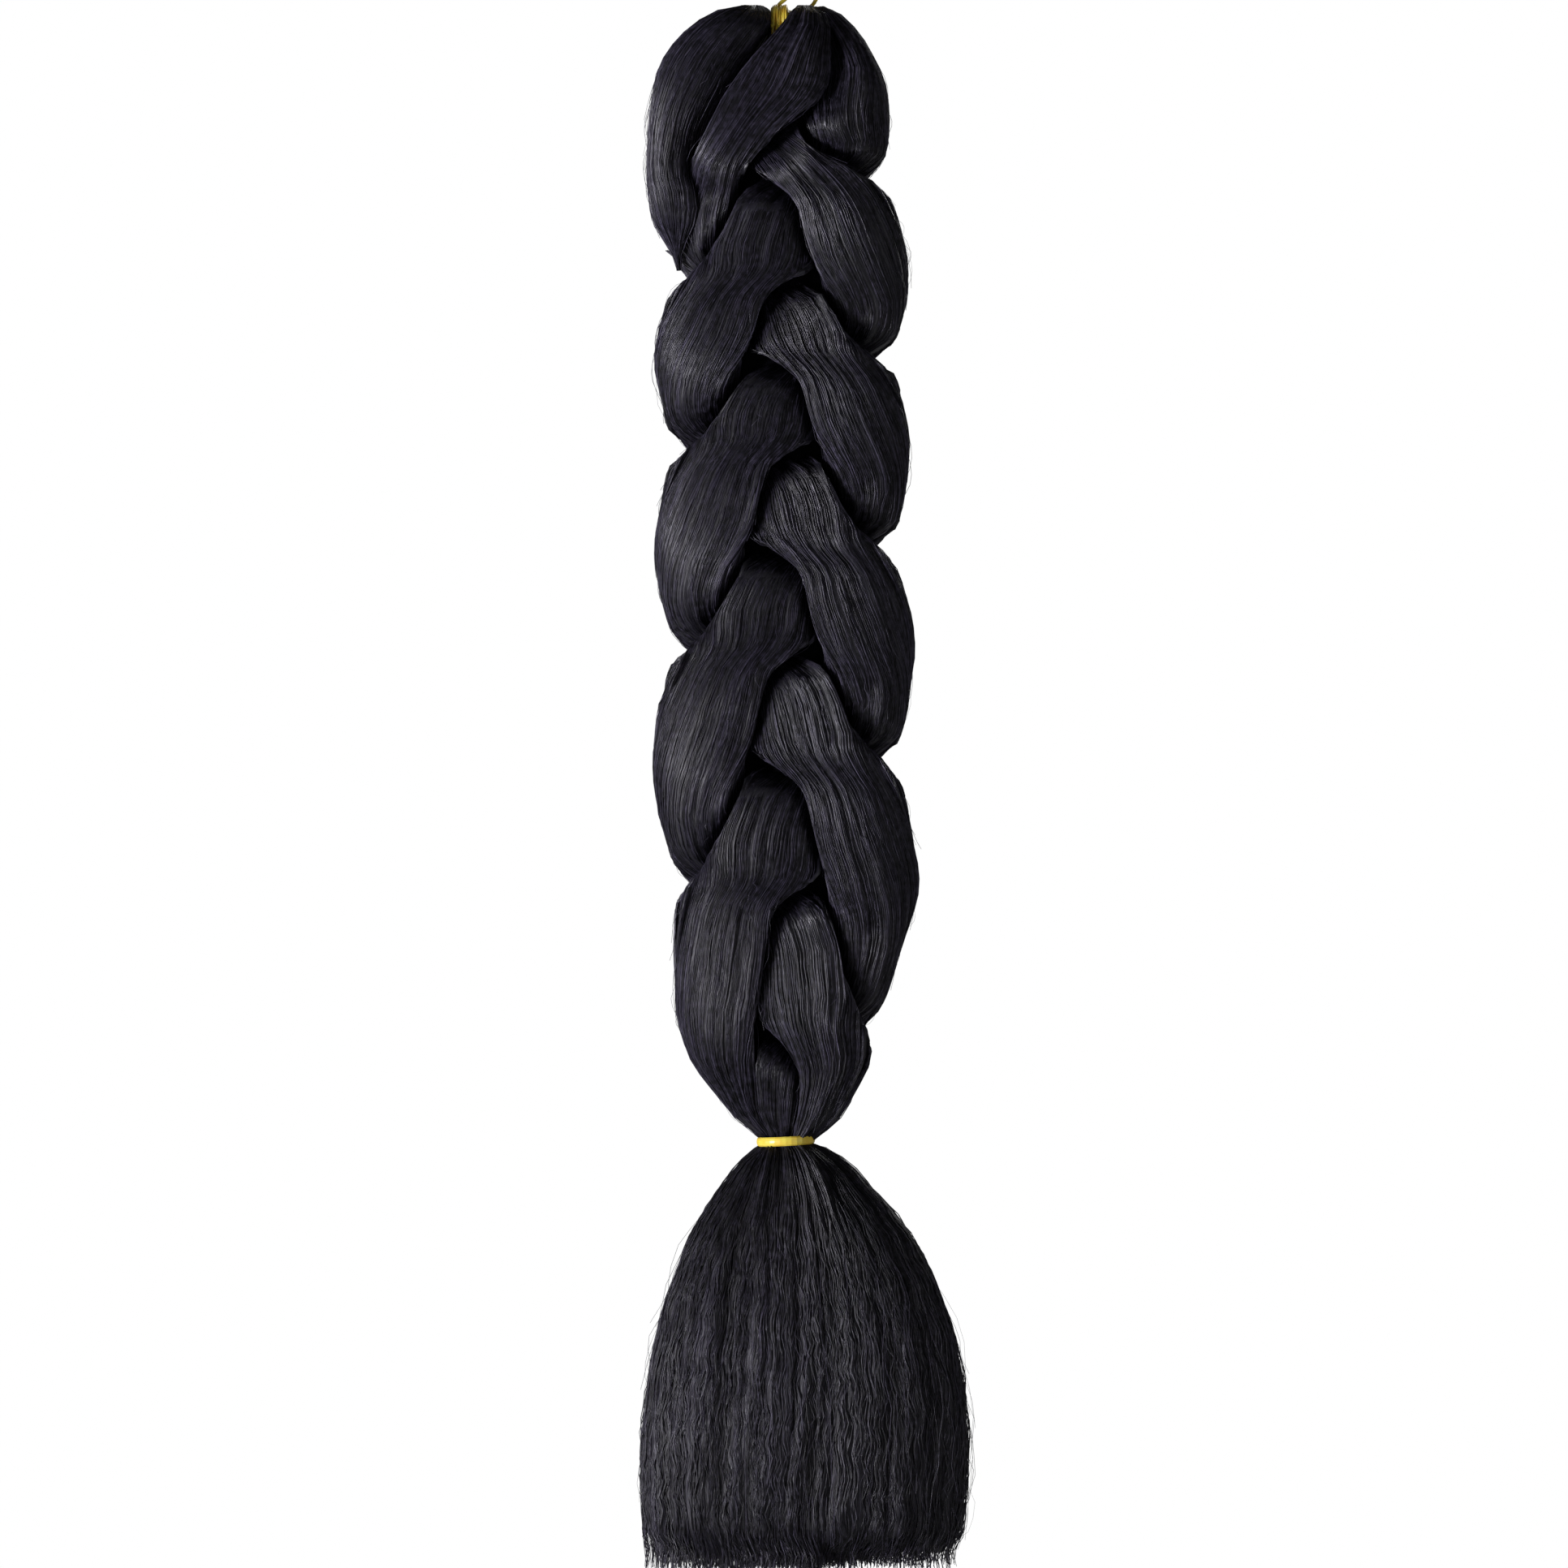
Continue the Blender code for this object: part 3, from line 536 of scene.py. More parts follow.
class Guides:
    """Guide lines gathered for one fibre piece."""

    def __init__(self):
        self.points, self.thick, self.tone = [], [], []
        self.loose, self.fibre, self.sizes = [], [], []

    def add(self, points, thick, tone, loose):
        count = len(points)
        if count < 3:
            return
        self.points.append(points)
        self.thick.append(np.broadcast_to(thick, count))
        self.tone.append(np.broadcast_to(tone, count))
        self.loose.append(np.broadcast_to(loose, count))
        self.fibre.append(np.full(count, rng.uniform()))
        self.sizes.append(count)

    def mesh(self, name):
        points = np.concatenate(self.points)
        mesh = bpy.data.meshes.new(name)
        mesh.vertices.add(len(points))
        mesh.vertices.foreach_set("co", points.astype(np.float32).ravel())
        edges = []
        start = 0
        for size in self.sizes:
            first = np.arange(start, start + size - 1)
            edges.append(np.stack([first, first + 1], axis=1))
            start += size
        edges = np.concatenate(edges).astype(np.int32)
        mesh.edges.add(len(edges))
        mesh.edges.foreach_set("vertices", edges.ravel())
        store(mesh, "thick", "FLOAT", np.concatenate(self.thick))
        store(mesh, "tone", "FLOAT", np.concatenate(self.tone))
        store(mesh, "loose", "FLOAT", np.concatenate(self.loose))
        store(mesh, "fibre", "FLOAT", np.concatenate(self.fibre))
        return mesh


def streak_group():
    """Fine light and dark streaks that run along the hair."""
    tree = bpy.data.node_groups.new("hair_streaks", "ShaderNodeTree")
    socket(tree, "Place", "NodeSocketVector", "INPUT")
    socket(tree, "Streaks per metre", "NodeSocketFloat", "INPUT", 900.0)
    socket(tree, "Stretch", "NodeSocketFloat", "INPUT", 0.03)
    socket(tree, "Fine", "NodeSocketFloat", "OUTPUT")
    socket(tree, "Broad", "NodeSocketFloat", "OUTPUT")
    nodes = tree.nodes
    given = nodes.new("NodeGroupInput")
    made = nodes.new("NodeGroupOutput")
    parts = nodes.new("ShaderNodeSeparateXYZ")
    link(tree, given.outputs["Place"], parts.inputs[0])
    down = math_node(tree, "MULTIPLY", parts.outputs["Z"], given.outputs["Stretch"])
    joined = nodes.new("ShaderNodeCombineXYZ")
    link(tree, parts.outputs["X"], joined.inputs["X"])
    link(tree, parts.outputs["Y"], joined.inputs["Y"])
    link(tree, down, joined.inputs["Z"])
    fine = nodes.new("ShaderNodeTexNoise")
    fine.inputs["Detail"].default_value = 3.0
    fine.inputs["Roughness"].default_value = 0.6
    link(tree, joined.outputs[0], fine.inputs["Vector"])
    link(tree, given.outputs["Streaks per metre"], fine.inputs["Scale"])
    broad = nodes.new("ShaderNodeTexNoise")
    broad.inputs["Detail"].default_value = 2.0
    link(tree, joined.outputs[0], broad.inputs["Vector"])
    scale = math_node(tree, "MULTIPLY", given.outputs["Streaks per metre"], 0.22)
    link(tree, scale, broad.inputs["Scale"])
    link(tree, fine.outputs["Fac"], made.inputs["Fine"])
    link(tree, broad.outputs["Fac"], made.inputs["Broad"])
    return tree


def spread(tree, value, low, high, to_low, to_high):
    node = tree.nodes.new("ShaderNodeMapRange")
    link(tree, value, node.inputs["Value"])
    ranges = (("From Min", low), ("From Max", high), ("To Min", to_low), ("To Max", to_high))
    for key, number in ranges:
        node.inputs[key].default_value = number
    return node.outputs["Result"]


def colour_mix(tree, amount, dark, light):
    node = tree.nodes.new("ShaderNodeMix")
    node.data_type = "RGBA"
    link(tree, amount, node.inputs["Factor"])
    node.inputs["A"].default_value = (*dark, 1.0)
    node.inputs["B"].default_value = (*light, 1.0)
    return node.outputs["Result"]


def blank_material(name):
    made = bpy.data.materials.new(name)
    made.use_nodes = True
    tree = made.node_tree
    return made, tree, tree.nodes["Principled BSDF"]


def attribute_of(tree, name, output):
    node = tree.nodes.new("ShaderNodeAttribute")
    node.attribute_name = name
    return node.outputs[output]


def body_material(name, streaks, dark, light, per_metre, stretch, rough):
    """Black hair seen as a mass: streaked colour darkened by the painted shade kept in tone,
    gloss and fine relief.
    """
    made, tree, shader = blank_material(name)
    group = tree.nodes.new("ShaderNodeGroup")
    group.node_tree = streaks
    group.inputs["Streaks per metre"].default_value = per_metre
    group.inputs["Stretch"].default_value = stretch
    link(tree, attribute_of(tree, "flow", "Vector"), group.inputs["Place"])
    both = math_node(tree, "MULTIPLY", group.outputs["Fine"], group.outputs["Broad"])
    streaked = spread(tree, both, 0.14, 0.38, 0.0, 1.0)
    amount = math_node(tree, "MULTIPLY", streaked, attribute_of(tree, "tone", "Fac"))
    link(tree, colour_mix(tree, amount, dark, light), shader.inputs["Base Color"])
    gloss = spread(tree, group.outputs["Fine"], 0.3, 0.7, rough + 0.08, rough - 0.06)
    link(tree, gloss, shader.inputs["Roughness"])
    bump = tree.nodes.new("ShaderNodeBump")
    bump.inputs["Strength"].default_value = 0.9
    bump.inputs["Distance"].default_value = 0.0008
    link(tree, group.outputs["Fine"], bump.inputs["Height"])
    link(tree, bump.outputs["Normal"], shader.inputs["Normal"])
    return made


def fibre_material(name, dark, light, rough):
    """Single synthetic fibres: each has its own tone, a little mottled along it, with painted
    shade and highlight.
    """
    made, tree, shader = blank_material(name)
    place = tree.nodes.new("ShaderNodeTexCoord").outputs["Object"]
    mottle = tree.nodes.new("ShaderNodeTexNoise")
    mottle.inputs["Scale"].default_value = 420.0
    mottle.inputs["Detail"].default_value = 2.0
    link(tree, place, mottle.inputs["Vector"])
    wander = spread(tree, mottle.outputs["Fac"], 0.3, 0.7, -0.22, 0.22)
    tone = math_node(tree, "ADD", attribute_of(tree, "tone", "Fac"), wander)
    amount = spread(tree, tone, 0.0, 1.0, 0.0, 1.0)
    link(tree, colour_mix(tree, amount, dark, light), shader.inputs["Base Color"])
    gloss = spread(tree, mottle.outputs["Fac"], 0.3, 0.7, rough + 0.08, rough - 0.06)
    link(tree, gloss, shader.inputs["Roughness"])
    return made


def rubber_material(name, light, deep, rough):
    made, tree, shader = blank_material(name)
    place = tree.nodes.new("ShaderNodeTexCoord").outputs["Object"]
    cloud = tree.nodes.new("ShaderNodeTexNoise")
    cloud.inputs["Scale"].default_value = 260.0
    cloud.inputs["Detail"].default_value = 4.0
    link(tree, place, cloud.inputs["Vector"])
    amount = spread(tree, cloud.outputs["Fac"], 0.32, 0.68, 0.0, 1.0)
    link(tree, colour_mix(tree, amount, light, deep), shader.inputs["Base Color"])
    gloss = spread(tree, cloud.outputs["Fac"], 0.3, 0.7, rough - 0.06, rough + 0.08)
    link(tree, gloss, shader.inputs["Roughness"])
    bump = tree.nodes.new("ShaderNodeBump")
    bump.inputs["Strength"].default_value = 0.3
    bump.inputs["Distance"].default_value = 0.0002
    link(tree, cloud.outputs["Fac"], bump.inputs["Height"])
    link(tree, bump.outputs["Normal"], shader.inputs["Normal"])
    return made


# Heights that the solids give
HAIR_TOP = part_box("left_strand")[1].z
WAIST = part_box("left_strand")[0].z
LOCK_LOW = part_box("left_lock")[0].z
TAIL_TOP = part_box("tail")[1].z
TAIL_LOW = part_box("tail")[0].z
# The first and last level lie just inside the solid
EDGE = 0.00004
# The tail's body ends this far above the solid's end, and its tips go on
TAIL_TUFT = 0.0060


def level_heights(top, low, space, dome, dome_steps):
    """Levels close together over a round top, then even down to the low end."""
    rounded = [top - EDGE - dome * (i / dome_steps) ** 2 for i in range(dome_steps)]
    rest = top - EDGE - dome
    steps = int(round((rest - low - EDGE) / space))
    even = [rest + (low + EDGE - rest) * i / steps for i in range(steps + 1)]
    return rounded + even


def cover_of(forms, name, merging):
    """For each level and line of a form, whether another strand presses on it there.

    Where merging is set, the lock and the middle strand don't count as pressing on each
    other below the height at which their hair runs together.
    """
    form = forms[name]
    covered = np.zeros(form.grid.shape[:2], dtype=bool)
    for k, height in enumerate(form.heights):
        ahead = form.grid[k, :, :2] + form.outward[k, :, :2] * PRESS_PROBE
        for other, shape in forms.items():
            if other == name:
                continue
            level = int(np.argmin(np.abs(shape.heights - height)))
            if abs(shape.heights[level] - height) > 0.002:
                continue
            if merging and {name, other} == MERGED_PAIR and height < MERGED_BELOW:
                continue
            covered[k] |= shape.holds(ahead, level)
    return covered


def side_profile(points, x):
    """How far one half of a ring reaches in depth at each x; none beyond its ends."""
    order = np.argsort(points[:, 0])
    return np.interp(x, points[order, 0], points[order, 1], left=np.nan, right=np.nan)


def pit_depths(forms, name):
    """How far a strand's open places lie below the plait's rounded outline, past what stays."""
    form = forms[name]
    depths = np.zeros(form.grid.shape[:2])
    half = LINES // 2
    for k, height in enumerate(form.heights):
        rings = {}
        for other, shape in forms.items():
            level = int(np.argmin(np.abs(shape.heights - height)))
            if abs(shape.heights[level] - height) < 0.002:
                rings[other] = shape.grid[level]
        points = np.concatenate([rings[other] for other in STRANDS])
        low, high = points.min(axis=0), points.max(axis=0)
        middle, wide = (low[0] + high[0]) / 2, (high[0] - low[0]) / 2
        for lines, side in ((slice(0, half), -1), (slice(half, None), 1)):
            own = rings[name][lines]
            deep = side * (low[1] if side < 0 else high[1])
            outer = np.clip(1.0 - np.abs((own[:, 0] - middle) / wide) ** 2.3, 0.0, 1.0)
            missing = deep * outer ** 0.43 - side * own[:, 1]
            hidden = np.zeros(half, dtype=bool)
            for other, ring in rings.items():
                if other != name:
                    reach = side * side_profile(ring[lines], own[:, 0])
                    hidden |= reach > side * own[:, 1]
            depths[k, lines] = np.where(hidden, 0.0, missing)
    below = smooth_step(HAIR_TOP - form.heights, *PIT_FROM)[:, None]
    depths = np.maximum(depths - PIT_KEPT, 0.0) * below
    depths = gaussian(depths, 5.0, 1, True)
    return gaussian(depths, 1.6, 0, False)


def fill_pits(forms):
    """Brings the strands out, to the front and to the back, where they leave a pit."""
    depths = {name: pit_depths(forms, name) for name in STRANDS}
    for name in STRANDS:
        form = forms[name]
        grid = form.grid.copy()
        half = LINES // 2
        grid[:, :half, 1] -= PIT_FILL * depths[name][:, :half]
        grid[:, half:, 1] += PIT_FILL * depths[name][:, half:]
        form.finish_grid(grid)


def runs(flags):
    """Starts and ends of the runs of true values."""
    edges = np.flatnonzero(np.diff(np.concatenate([[0], flags.astype(int), [0]])))
    return list(zip(edges[::2], edges[1::2]))


def press_of(covered, round_reach, down_reach):
    """How near each place is to where another strand presses on it, from 0 to 1."""
    near = gaussian(covered.astype(float), round_reach, 1, True)
    return gaussian(near, down_reach, 0, False)


def wisp_tone(line, along):
    """A fibre's tone down its length: wisps of neighbours share it, most are dark, the pale ones
    painted highlight.
    """
    turn = np.mod(line, LINES) / LINES
    wide = 0.5 + 0.5 * lattice_noise(turn * 44, along / 0.09, 31, 44)
    narrow = 0.5 + 0.5 * lattice_noise(turn * WISPS, along / 0.030, 32, WISPS)
    return 0.01 + 0.25 * wide ** 2 + 0.75 * narrow ** 3 + 0.35 * rng.uniform() ** 4


def crimp(line, along, wave, size):
    """Sideways waves that neighbouring fibres share, in lines round the form."""
    phase = 5.0 * lattice_noise(np.mod(line, LINES) / LINES * 30, along / 0.06, 61, 30)
    return size * np.sin(2 * math.pi * along / wave + phase)


def braid_fibres(form, covered, shade, rows, lines):
    """Guide lines over a strand's uncovered stretches."""
    guides = Guides()
    top = len(form.heights) - 1
    pole = form.grid[0].mean(axis=0) + np.array([0.0, 0.0, 0.0003])
    for i in range(lines):
        line = (i + rng.uniform(-0.5, 0.5)) * LINES / lines
        flags = ~covered[:, int(line) % LINES]
        for start, end in runs(flags):
            first = form.along[start]
            last = min(form.along[min(end, top)] + TUCK, form.along[-1])
            if last - first < SHORTEST_RUN:
                continue
            if rng.uniform() < 0.35:
                cut = rng.uniform(0.25, 0.75) * (last - first)
                if rng.uniform() < 0.5 and start > 0:
                    first += cut
                else:
                    last -= cut
            count = max(int(round((last - first) / BRAID_STEP)), 3)
            along = np.linspace(first, last, count + 1)
            level = form.level_of(along)
            drift = rng.normal(0.0, 1.0) * (along - along.mean()) / 0.08
            places = line + drift + crimp(line, along, 0.021, 0.45)
            base = form.sample(form.grid, places, level)
            out = form.sample(form.outward, places, level)
            share = np.linspace(0.0, 1.0, count + 1)
            emerges = start > DOME_STEPS and first <= form.along[start]
            whole = start == 0 or emerges
            begins = np.ones(count + 1) if whole else smooth_step(share, 0.0, 0.15)
            ends = np.minimum(begins, smooth_step(1 - share, 0.0, 0.15))
            relief = relief_height(form, rows, places, along)
            lift = relief * np.minimum(level / 6.0, 1.0) + rng.uniform(-0.00022, 0.00024)
            lift = lift - 0.0006 * (1.0 - ends)
            points = base + out * lift[:, None]
            thick = rng.uniform(*BRAID_THICK) * (0.35 + 0.65 * ends)
            # Painted shade: the strand's shade map, and darker fibres in the relief's valleys
            shaded = form.sample(shade[:, :, None], places, level)[:, 0]
            tone = wisp_tone(places, along) * shaded
            tone = tone * (0.2 + 0.8 * crest_of(rows, relief))
            if start == 0:
                lead = pole + (points[0] - pole) * np.array([[0.2], [0.6]])
            elif emerges:
                back = (points[0] - points[2]) / np.linalg.norm(points[0] - points[2])
                reach = np.array([[1.0], [0.5]]) * UNDER_REACH
                lead = points[0] + reach * (back - UNDER_SINK * out[0])
            if whole:
                points = np.vstack([lead, points])
                thick = np.concatenate([thick[:2], thick])
                tone = np.concatenate([tone[:2], tone])
            guides.add(points, thick, tone, 1.0)
    return guides


def stray_fibres(guides, form, shade, count, lengths, lift):
    """Loose fibres that arch or stand off the form where nothing lies over it."""
    points_each = 6
    share = np.linspace(0.0, 1.0, points_each)
    for _ in range(count):
        length = rng.uniform(*lengths)
        first = rng.uniform(0.02, form.along[-1] - length)
        along = first + length * share
        level = form.level_of(along)
        places = rng.uniform(0, LINES) + np.cumsum(rng.normal(0.0, 1.4, points_each))
        if form.sample(shade[:, :, None], places, level).min() < 0.55:
            continue
        base = form.sample(form.grid, places, level)
        out = form.sample(form.outward, places, level)
        if rng.uniform() < 0.5:
            shape = np.sin(math.pi * share)
        else:
            shape = share ** 1.7
        height = lift * rng.uniform(0.15, 1.0) ** 1.6
        points = base + out * (height * shape)[:, None]
        guides.add(points, rng.uniform(*STRAY_THICK), rng.uniform(0.1, 0.6), 1.6)


def painted_band_shade(along):
    """Painted shade down the tail's length, as a share of full brightness: darkest under the
    band.
    """
    return TAIL_BAND_SHADE + (1.0 - TAIL_BAND_SHADE) * smooth_step(along, TAIL_BAND_SHADE_FROM, TAIL_BAND_SHADE_TO)


def tail_fibres(form, rows, lines, tips):
    """Guide lines down the tail, from inside the band to uneven cut ends."""
    guides = Guides()
    last_along = form.along[-1]
    for i in range(lines):
        line = (i + rng.uniform(-0.5, 0.5)) * LINES / lines
        first = 0.0 if rng.uniform() < 0.6 else rng.uniform(0.01, 0.6) * last_along
        reach = last_along + tips(line) + rng.normal(0.0, 0.0014)
        if rng.uniform() < 0.25:
            reach = first + rng.uniform(0.3, 0.8) * (reach - first)
        count = max(int(round((reach - first) / TAIL_STEP)), 4)
        along = np.linspace(first, reach, count + 1)
        inside = np.minimum(along, last_along)
        level = form.level_of(inside)
        share = np.linspace(0.0, 1.0, count + 1)
        drift = rng.normal(0.0, 1.6) * (along - first) / 0.15
        places = line + drift + crimp(line, along, 0.018, 0.8) * np.minimum(along / 0.04, 1.0)
        base = form.sample(form.grid, places, level)
        out = form.sample(form.outward, places, level)
        beyond = (along - inside)[:, None]
        base = base + beyond * np.array([0.0, 0.0, -1.0])
        ends = smooth_step(share, 0.0, 0.08)
        relief = relief_height(form, rows, places, inside)
        lift = relief * np.minimum(level / 6.0, 1.0) + rng.uniform(-0.0004, 0.0003)
        lift = lift - 0.0008 * (1.0 - ends)
        points = base + out * lift[:, None]
        thick = rng.uniform(*TAIL_THICK) * (1.0 - 0.5 * smooth_step(share, 0.93, 1.0))
        # Painted shade: fibres in the relief's valleys are darker
        tone = 0.9 * wisp_tone(places, along) * crest_of(rows, relief) ** 1.6
        # Painted shade: darker under the band
        tone = tone * painted_band_shade(along)
        guides.add(points, thick, tone, 0.3 + 1.2 * share)
    return guides


def tail_tips(form, count, tips):
    """Fibre ends inside the tail's cut end, so that it is a brush from below."""
    guides = Guides()
    last = len(form.heights) - 1
    for _ in range(count):
        line = rng.uniform(0, LINES)
        inward = math.sqrt(rng.uniform(0.0, 0.98))
        level = np.array([last - 9.0, last - 3.0, float(last)])
        ring = form.sample(form.grid, np.full(3, line), level)
        centre = np.stack([form.grid[int(k)].mean(axis=0) for k in level])
        points = centre + (ring - centre) * inward
        end = points[-1].copy()
        end[2] -= tips(line) + rng.normal(0.0, 0.0018)
        end[:2] += rng.normal(0.0, 0.0009, 2)
        middle = (points[-1] + end) / 2 + rng.normal(0.0, 0.0004, 3)
        thick = rng.uniform(*TIP_THICK)
        guides.add(np.vstack([points, middle, end]), thick, 0.6 * rng.uniform() ** 1.5, 1.0)
    return guides


def cut_end(line):
    """How far the tips hang below the body's end round the tail."""
    angle = line / LINES * 2 * math.pi
    wave = 0.0010 * math.sin(5 * angle + 0.7) + 0.0008 * math.sin(13 * angle)
    return TAIL_TUFT + wave - 0.0026 * (math.cos(angle) * 0.5 + 0.5)


def dress(piece, nodes):
    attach(piece, "root")
    if nodes:
        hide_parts(*nodes)


class Core(Form):
    """The braid's middle, painted dark as shade, seen only in the crevices between strands."""

    def __init__(self, shapes):
        turn = np.arange(LINES) * 2 * math.pi / LINES
        rings = []
        picked = range(CORE_TOP_LEVEL, len(shapes[0].heights) - 8)
        for k in picked:
            points = np.concatenate([shape.grid[k] for shape in shapes])
            low, high = points.min(axis=0), points.max(axis=0)
            middle, half = (low + high) / 2, (high - low) / 2
            x = middle[0] + CORE_WIDTH * half[0] * np.cos(turn)
            y = middle[1] - CORE_DEPTH * half[1] * np.sin(turn)
            rings.append(np.stack([x, y, np.full(LINES, middle[2])], axis=1))
        self.heights = shapes[0].heights[list(picked)]
        self.finish_grid(np.array(rings))
        run = np.diff(np.concatenate([self.grid, self.grid[:, :1]], axis=1), axis=1)
        self.girth = np.linalg.norm(run, axis=2).sum(axis=1)


def make_core(forms, look):
    """Hair behind the crossings, with painted shade: a dark tone and a shaded, less glossy copy
    of the hair material.
    """
    core = Core([forms[name] for name in STRANDS])
    dim = np.full(core.grid.shape[:2], CORE_SHADE)
    dress(hair_body("braid_core", core, BRAID_RELIEF, look, 0.0003, dim, 4), [])


def make_neck_hair(tree, look):
    """The hank's pinched middle as a bundle of fibres that runs through the elastic."""
    low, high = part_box("fold_neck")
    middle, half = (low + high) / 2, (high - low) / 2
    guides = Guides()
    x = np.linspace(low.x - 0.0015, high.x + 0.0015, 7)
    for _ in range(NECK_FIBRES):
        angle = rng.uniform(0.0, 2 * math.pi)
        inward = math.sqrt(rng.uniform(0.0, 0.92))
        y = np.full(7, middle.y + half.y * inward * math.cos(angle))
        z = np.full(7, middle.z + half.z * inward * math.sin(angle))
        guides.add(np.stack([x, y, z], axis=1), 0.0004, 0.5 * rng.uniform(), 0.3)
    values = {"Thickness": 1.0, "Frizz": 0.0006, "Frizz per metre": 160.0, "Finish": look}
    piece = grow("fold_neck_fibres", guides.mesh("fold_neck_guides"), tree, values)
    dress(piece, ["fold_neck"])


def make_braid(streaks, tree):
    """The three strands and the lock, each a body with its fibres, then the core and neck."""
    mass = body_material("braid_hair_mass", streaks, BLACK, GREY, 1300.0, 0.028, 0.44)
    look = fibre_material("braid_fibre", BLACK, PALE_HIGHLIGHT, 0.38)
    long_levels = level_heights(HAIR_TOP, WAIST, BRAID_SPACE, DOME_DEEP, DOME_STEPS)
    lock_levels = level_heights(HAIR_TOP, LOCK_LOW, BRAID_SPACE, DOME_DEEP, DOME_STEPS)
    forms = {name: Form(name, long_levels, 3.0, 1.1) for name in STRANDS}
    forms["left_lock"] = Form("left_lock", lock_levels, 3.0, 1.1)
    fill_pits(forms)
    covers = {name: cover_of(forms, name, False) for name in HAIR_NODES}
    seams = {name: cover_of(forms, name, True) for name in HAIR_NODES}
    for name in HAIR_NODES:
        form, covered = forms[name], covers[name]
        covered = press_of(covered, 3.0, 1.0) > 0.5
        press = press_of(covered, 4.0, 1.2)
        halo = press_of(seams[name], 12.0, 3.6)
        form.swell(PRESS_SWELL * press - PRESS_SINK * halo * (1.0 - press))
        if name == "left_lock":
            form.draw_in(*LOCK_TIP)
        # Painted shade: darker where other strands press and in the levels just below a crossing
        overhang = np.zeros_like(halo)
        for drop, weight in OVERHANG:
            overhang[drop:] = np.maximum(overhang[drop:], weight * halo[:-drop])
        shade = 1.0 - CREVICE_PAINTED_SHADE * smooth_step(halo, 0.0, 0.55)
        shade = shade * (1.0 - OVERHANG_PAINTED_SHADE * smooth_step(overhang, 0.0, 0.7))
        body = hair_body(name + "_hair", form, BRAID_RELIEF, mass, 0.0003, shade, 2)
        dress(body, [name])
        lines = BRAID_LINES if name != "left_lock" else LOCK_LINES
        guides = braid_fibres(form, covered, shade, BRAID_RELIEF, lines)
        strays = BRAID_STRAYS if name != "left_lock" else LOCK_STRAYS
        stray_fibres(guides, form, shade, strays, *BRAID_STRAY)
        values = {"Thickness": 1.0, "Frizz": 0.0007, "Frizz per metre": 75.0, "Finish": look}
        fibres = grow(name + "_fibres", guides.mesh(name + "_guides"), tree, values)
        dress(fibres, [])
    # Painted shade: a shaded copy of the hair mass, with little gloss, for the core behind the
    # crossings
    deep = body_material("crevice_shade_hair_mass", streaks, BLACK, GREY, 1300.0, 0.028, 0.80)
    deep.node_tree.nodes["Principled BSDF"].inputs["Specular IOR Level"].default_value = 0.12
    make_core(forms, deep)
    make_neck_hair(tree, look)


def make_tail(streaks, tree):
    """The loose end below the band: its body, its fibres and its cut tips."""
    mass = body_material("tail_hair_mass", streaks, BLACK, GREY, 1100.0, 0.035, 0.48)
    look = fibre_material("tail_fibre", BLACK, TAIL_PALE_HIGHLIGHT, 0.42)
    low = TAIL_LOW + TAIL_TUFT
    levels = level_heights(TAIL_TOP, low, TAIL_SPACE, SHOULDER_DEEP, SHOULDER_STEPS)
    form = Form("tail", levels, 2.2, 1.5)
    # Painted shade: the tail's body is darker under its band
    shade = np.ones(form.grid.shape[:2]) * painted_band_shade(form.along)[:, None]
    rings = form.grid.copy()
    form.draw_in(*TAIL_TAPER)
    ragged = lattice_noise(np.arange(LINES) / 3.0, np.zeros(LINES), 71, LINES // 3)
    wave = np.array([cut_end(line) - TAIL_TUFT for line in range(LINES)])
    form.grid[-3:, :, 2] -= np.array([[0.3], [0.65], [1.0]]) * (wave + TAIL_RAGGED * ragged)
    body = hair_body("tail_hair", form, TAIL_RELIEF, mass, 0.0006, shade, 1)
    form.grid = rings
    dress(body, ["tail"])
    guides = tail_fibres(form, TAIL_RELIEF, TAIL_LINES, cut_end)
    stray_fibres(guides, form, shade, TAIL_STRAYS, *TAIL_STRAY)
    values = {"Thickness": 1.0, "Frizz": 0.0030, "Frizz per metre": 95.0, "Finish": look}
    fibres = grow("tail_fibres", guides.mesh("tail_guides"), tree, values)
    dress(fibres, [])
    tips = grow("tail_tips", tail_tips(form, TIP_COUNT, cut_end).mesh("tip_guides"), tree, values)
    dress(tips, [])


def make_windings(tree, look):
    """Thin threads of the elastic wound over its turns round the neck."""
    low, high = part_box("fold_neck")
    middle, half = (low + high) / 2, (high - low) / 2
    guides = Guides()
    count = WINDINGS * WINDING_POINTS
    turn = np.arange(count + 1) * 2 * math.pi / WINDING_POINTS
    for layer in range(2):
        share = np.linspace(0.0, 1.0, count + 1)
        if layer:
            share = 1.0 - share
        wobble = 0.0003 * np.sin(turn * 1.37 + layer * 2.0)
        x = low.x + 0.0006 + share * (high.x - low.x - 0.0012) + wobble
        out = 0.0019 + 0.0004 * layer + 0.0002 * np.sin(turn * 0.71)
        y = middle.y + (half.y + out) * np.cos(turn)
        z = middle.z + (half.z + out) * np.sin(turn)
        guides.add(np.stack([x, y, z], axis=1), 0.00045, 0.5, 0.2)
    values = {"Thickness": 1.0, "Frizz": 0.0, "Sides": 8, "Finish": look}
    dress(grow("elastic_threads", guides.mesh("thread_guides"), tree, values), [])


def make_elastics(tree):
    """Yellow rubber on the two elastics, and threads over the wrapped one."""
    look = rubber_material("elastic_yellow", (1.0, 0.86, 0.12), (0.98, 0.66, 0.06), 0.34)
    for name in ("hanging_elastic", "tie_band"):
        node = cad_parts[name]
        node.data.materials.clear()
        node.data.materials.append(look)
    make_windings(tree, look)


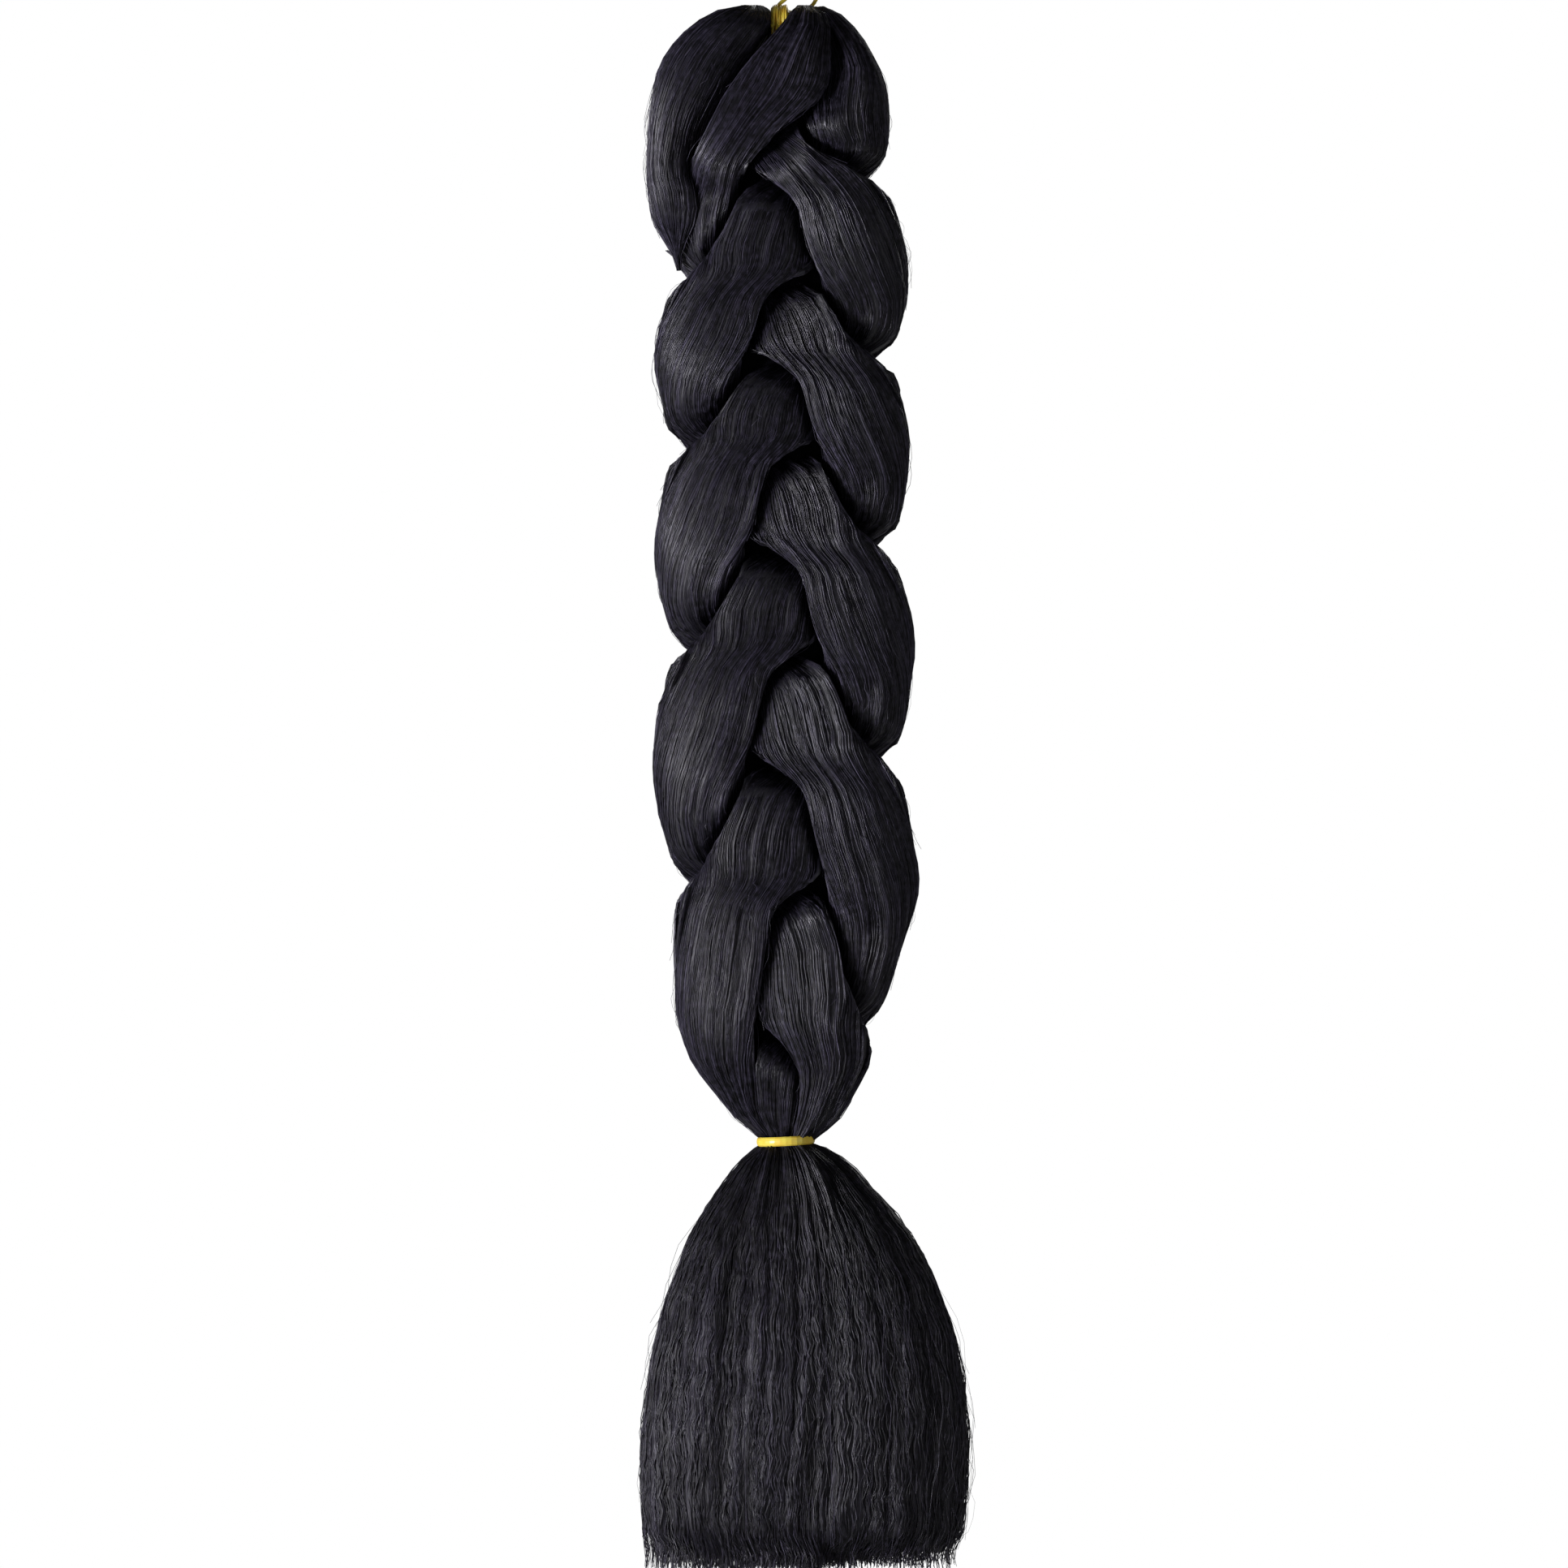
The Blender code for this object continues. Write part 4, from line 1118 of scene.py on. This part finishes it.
def area_light(name, place, target, size, power, tint):
    data = bpy.data.lights.new(name, "AREA")
    data.shape = "RECTANGLE"
    data.size, data.size_y = size
    data.energy = power
    data.color = tint
    made = new_object(name, data)
    made.location = place
    made.rotation_euler = (Vector(target) - Vector(place)).to_track_quat("-Z", "Y").to_euler()


def make_studio():
    """Soft lights, brightest from low on the left, a pale floor, and the camera."""
    scene = bpy.context.scene
    scene.view_settings.view_transform = "Standard"
    world = bpy.data.worlds.new("studio")
    scene.world = world
    world.use_nodes = True
    tree = world.node_tree
    shader = tree.nodes["Background"]
    shader.inputs["Color"].default_value = (1.0, 1.0, 1.0, 1.0)
    path = tree.nodes.new("ShaderNodeLightPath")
    strength = spread(tree, path.outputs["Is Camera Ray"], 0.0, 1.0, 0.06, 1.0)
    link(tree, strength, shader.inputs["Strength"])
    middle = (VIEW_X, 0.0, VIEW_Z)
    area_light("key_softbox", (-2.1, -1.4, -0.80), middle, (0.8, 1.0), 134.0, (0.94, 0.92, 1.0))
    area_light("fill_softbox", (1.6, -1.5, -0.1), middle, (1.2, 1.2), 5.5, (0.92, 0.91, 1.0))
    area_light("back_softbox", (0.4, 1.8, 0.5), middle, (1.2, 1.0), 14.0, (1.0, 1.0, 1.0))
    side = 1.6
    low = TAIL_LOW - 0.13
    corners = [(-side, -side, low), (side, -side, low), (side, side, low), (-side, side, low)]
    floor = new_object("floor", new_mesh("floor", corners, [(0, 1, 2, 3)]))
    made, tree, shader = blank_material("pale_floor")
    shader.inputs["Base Color"].default_value = (0.86, 0.86, 0.86, 1.0)
    shader.inputs["Roughness"].default_value = 0.7
    floor.data.materials.append(made)
    data = bpy.data.cameras.new("camera")
    data.sensor_width = SENSOR
    data.sensor_height = SENSOR
    data.lens = SENSOR * CAMERA_DISTANCE / VIEW_WIDTH
    data.clip_end = 30.0
    camera = new_object("camera", data)
    camera.location = (VIEW_X, -CAMERA_DISTANCE, VIEW_Z)
    camera.rotation_euler = (math.pi / 2, 0.0, 0.0)
    scene.camera = camera


make_studio()
shared_streaks = streak_group()
shared_fibres = fibre_tree()
make_braid(shared_streaks, shared_fibres)
make_tail(shared_streaks, shared_fibres)
make_elastics(shared_fibres)
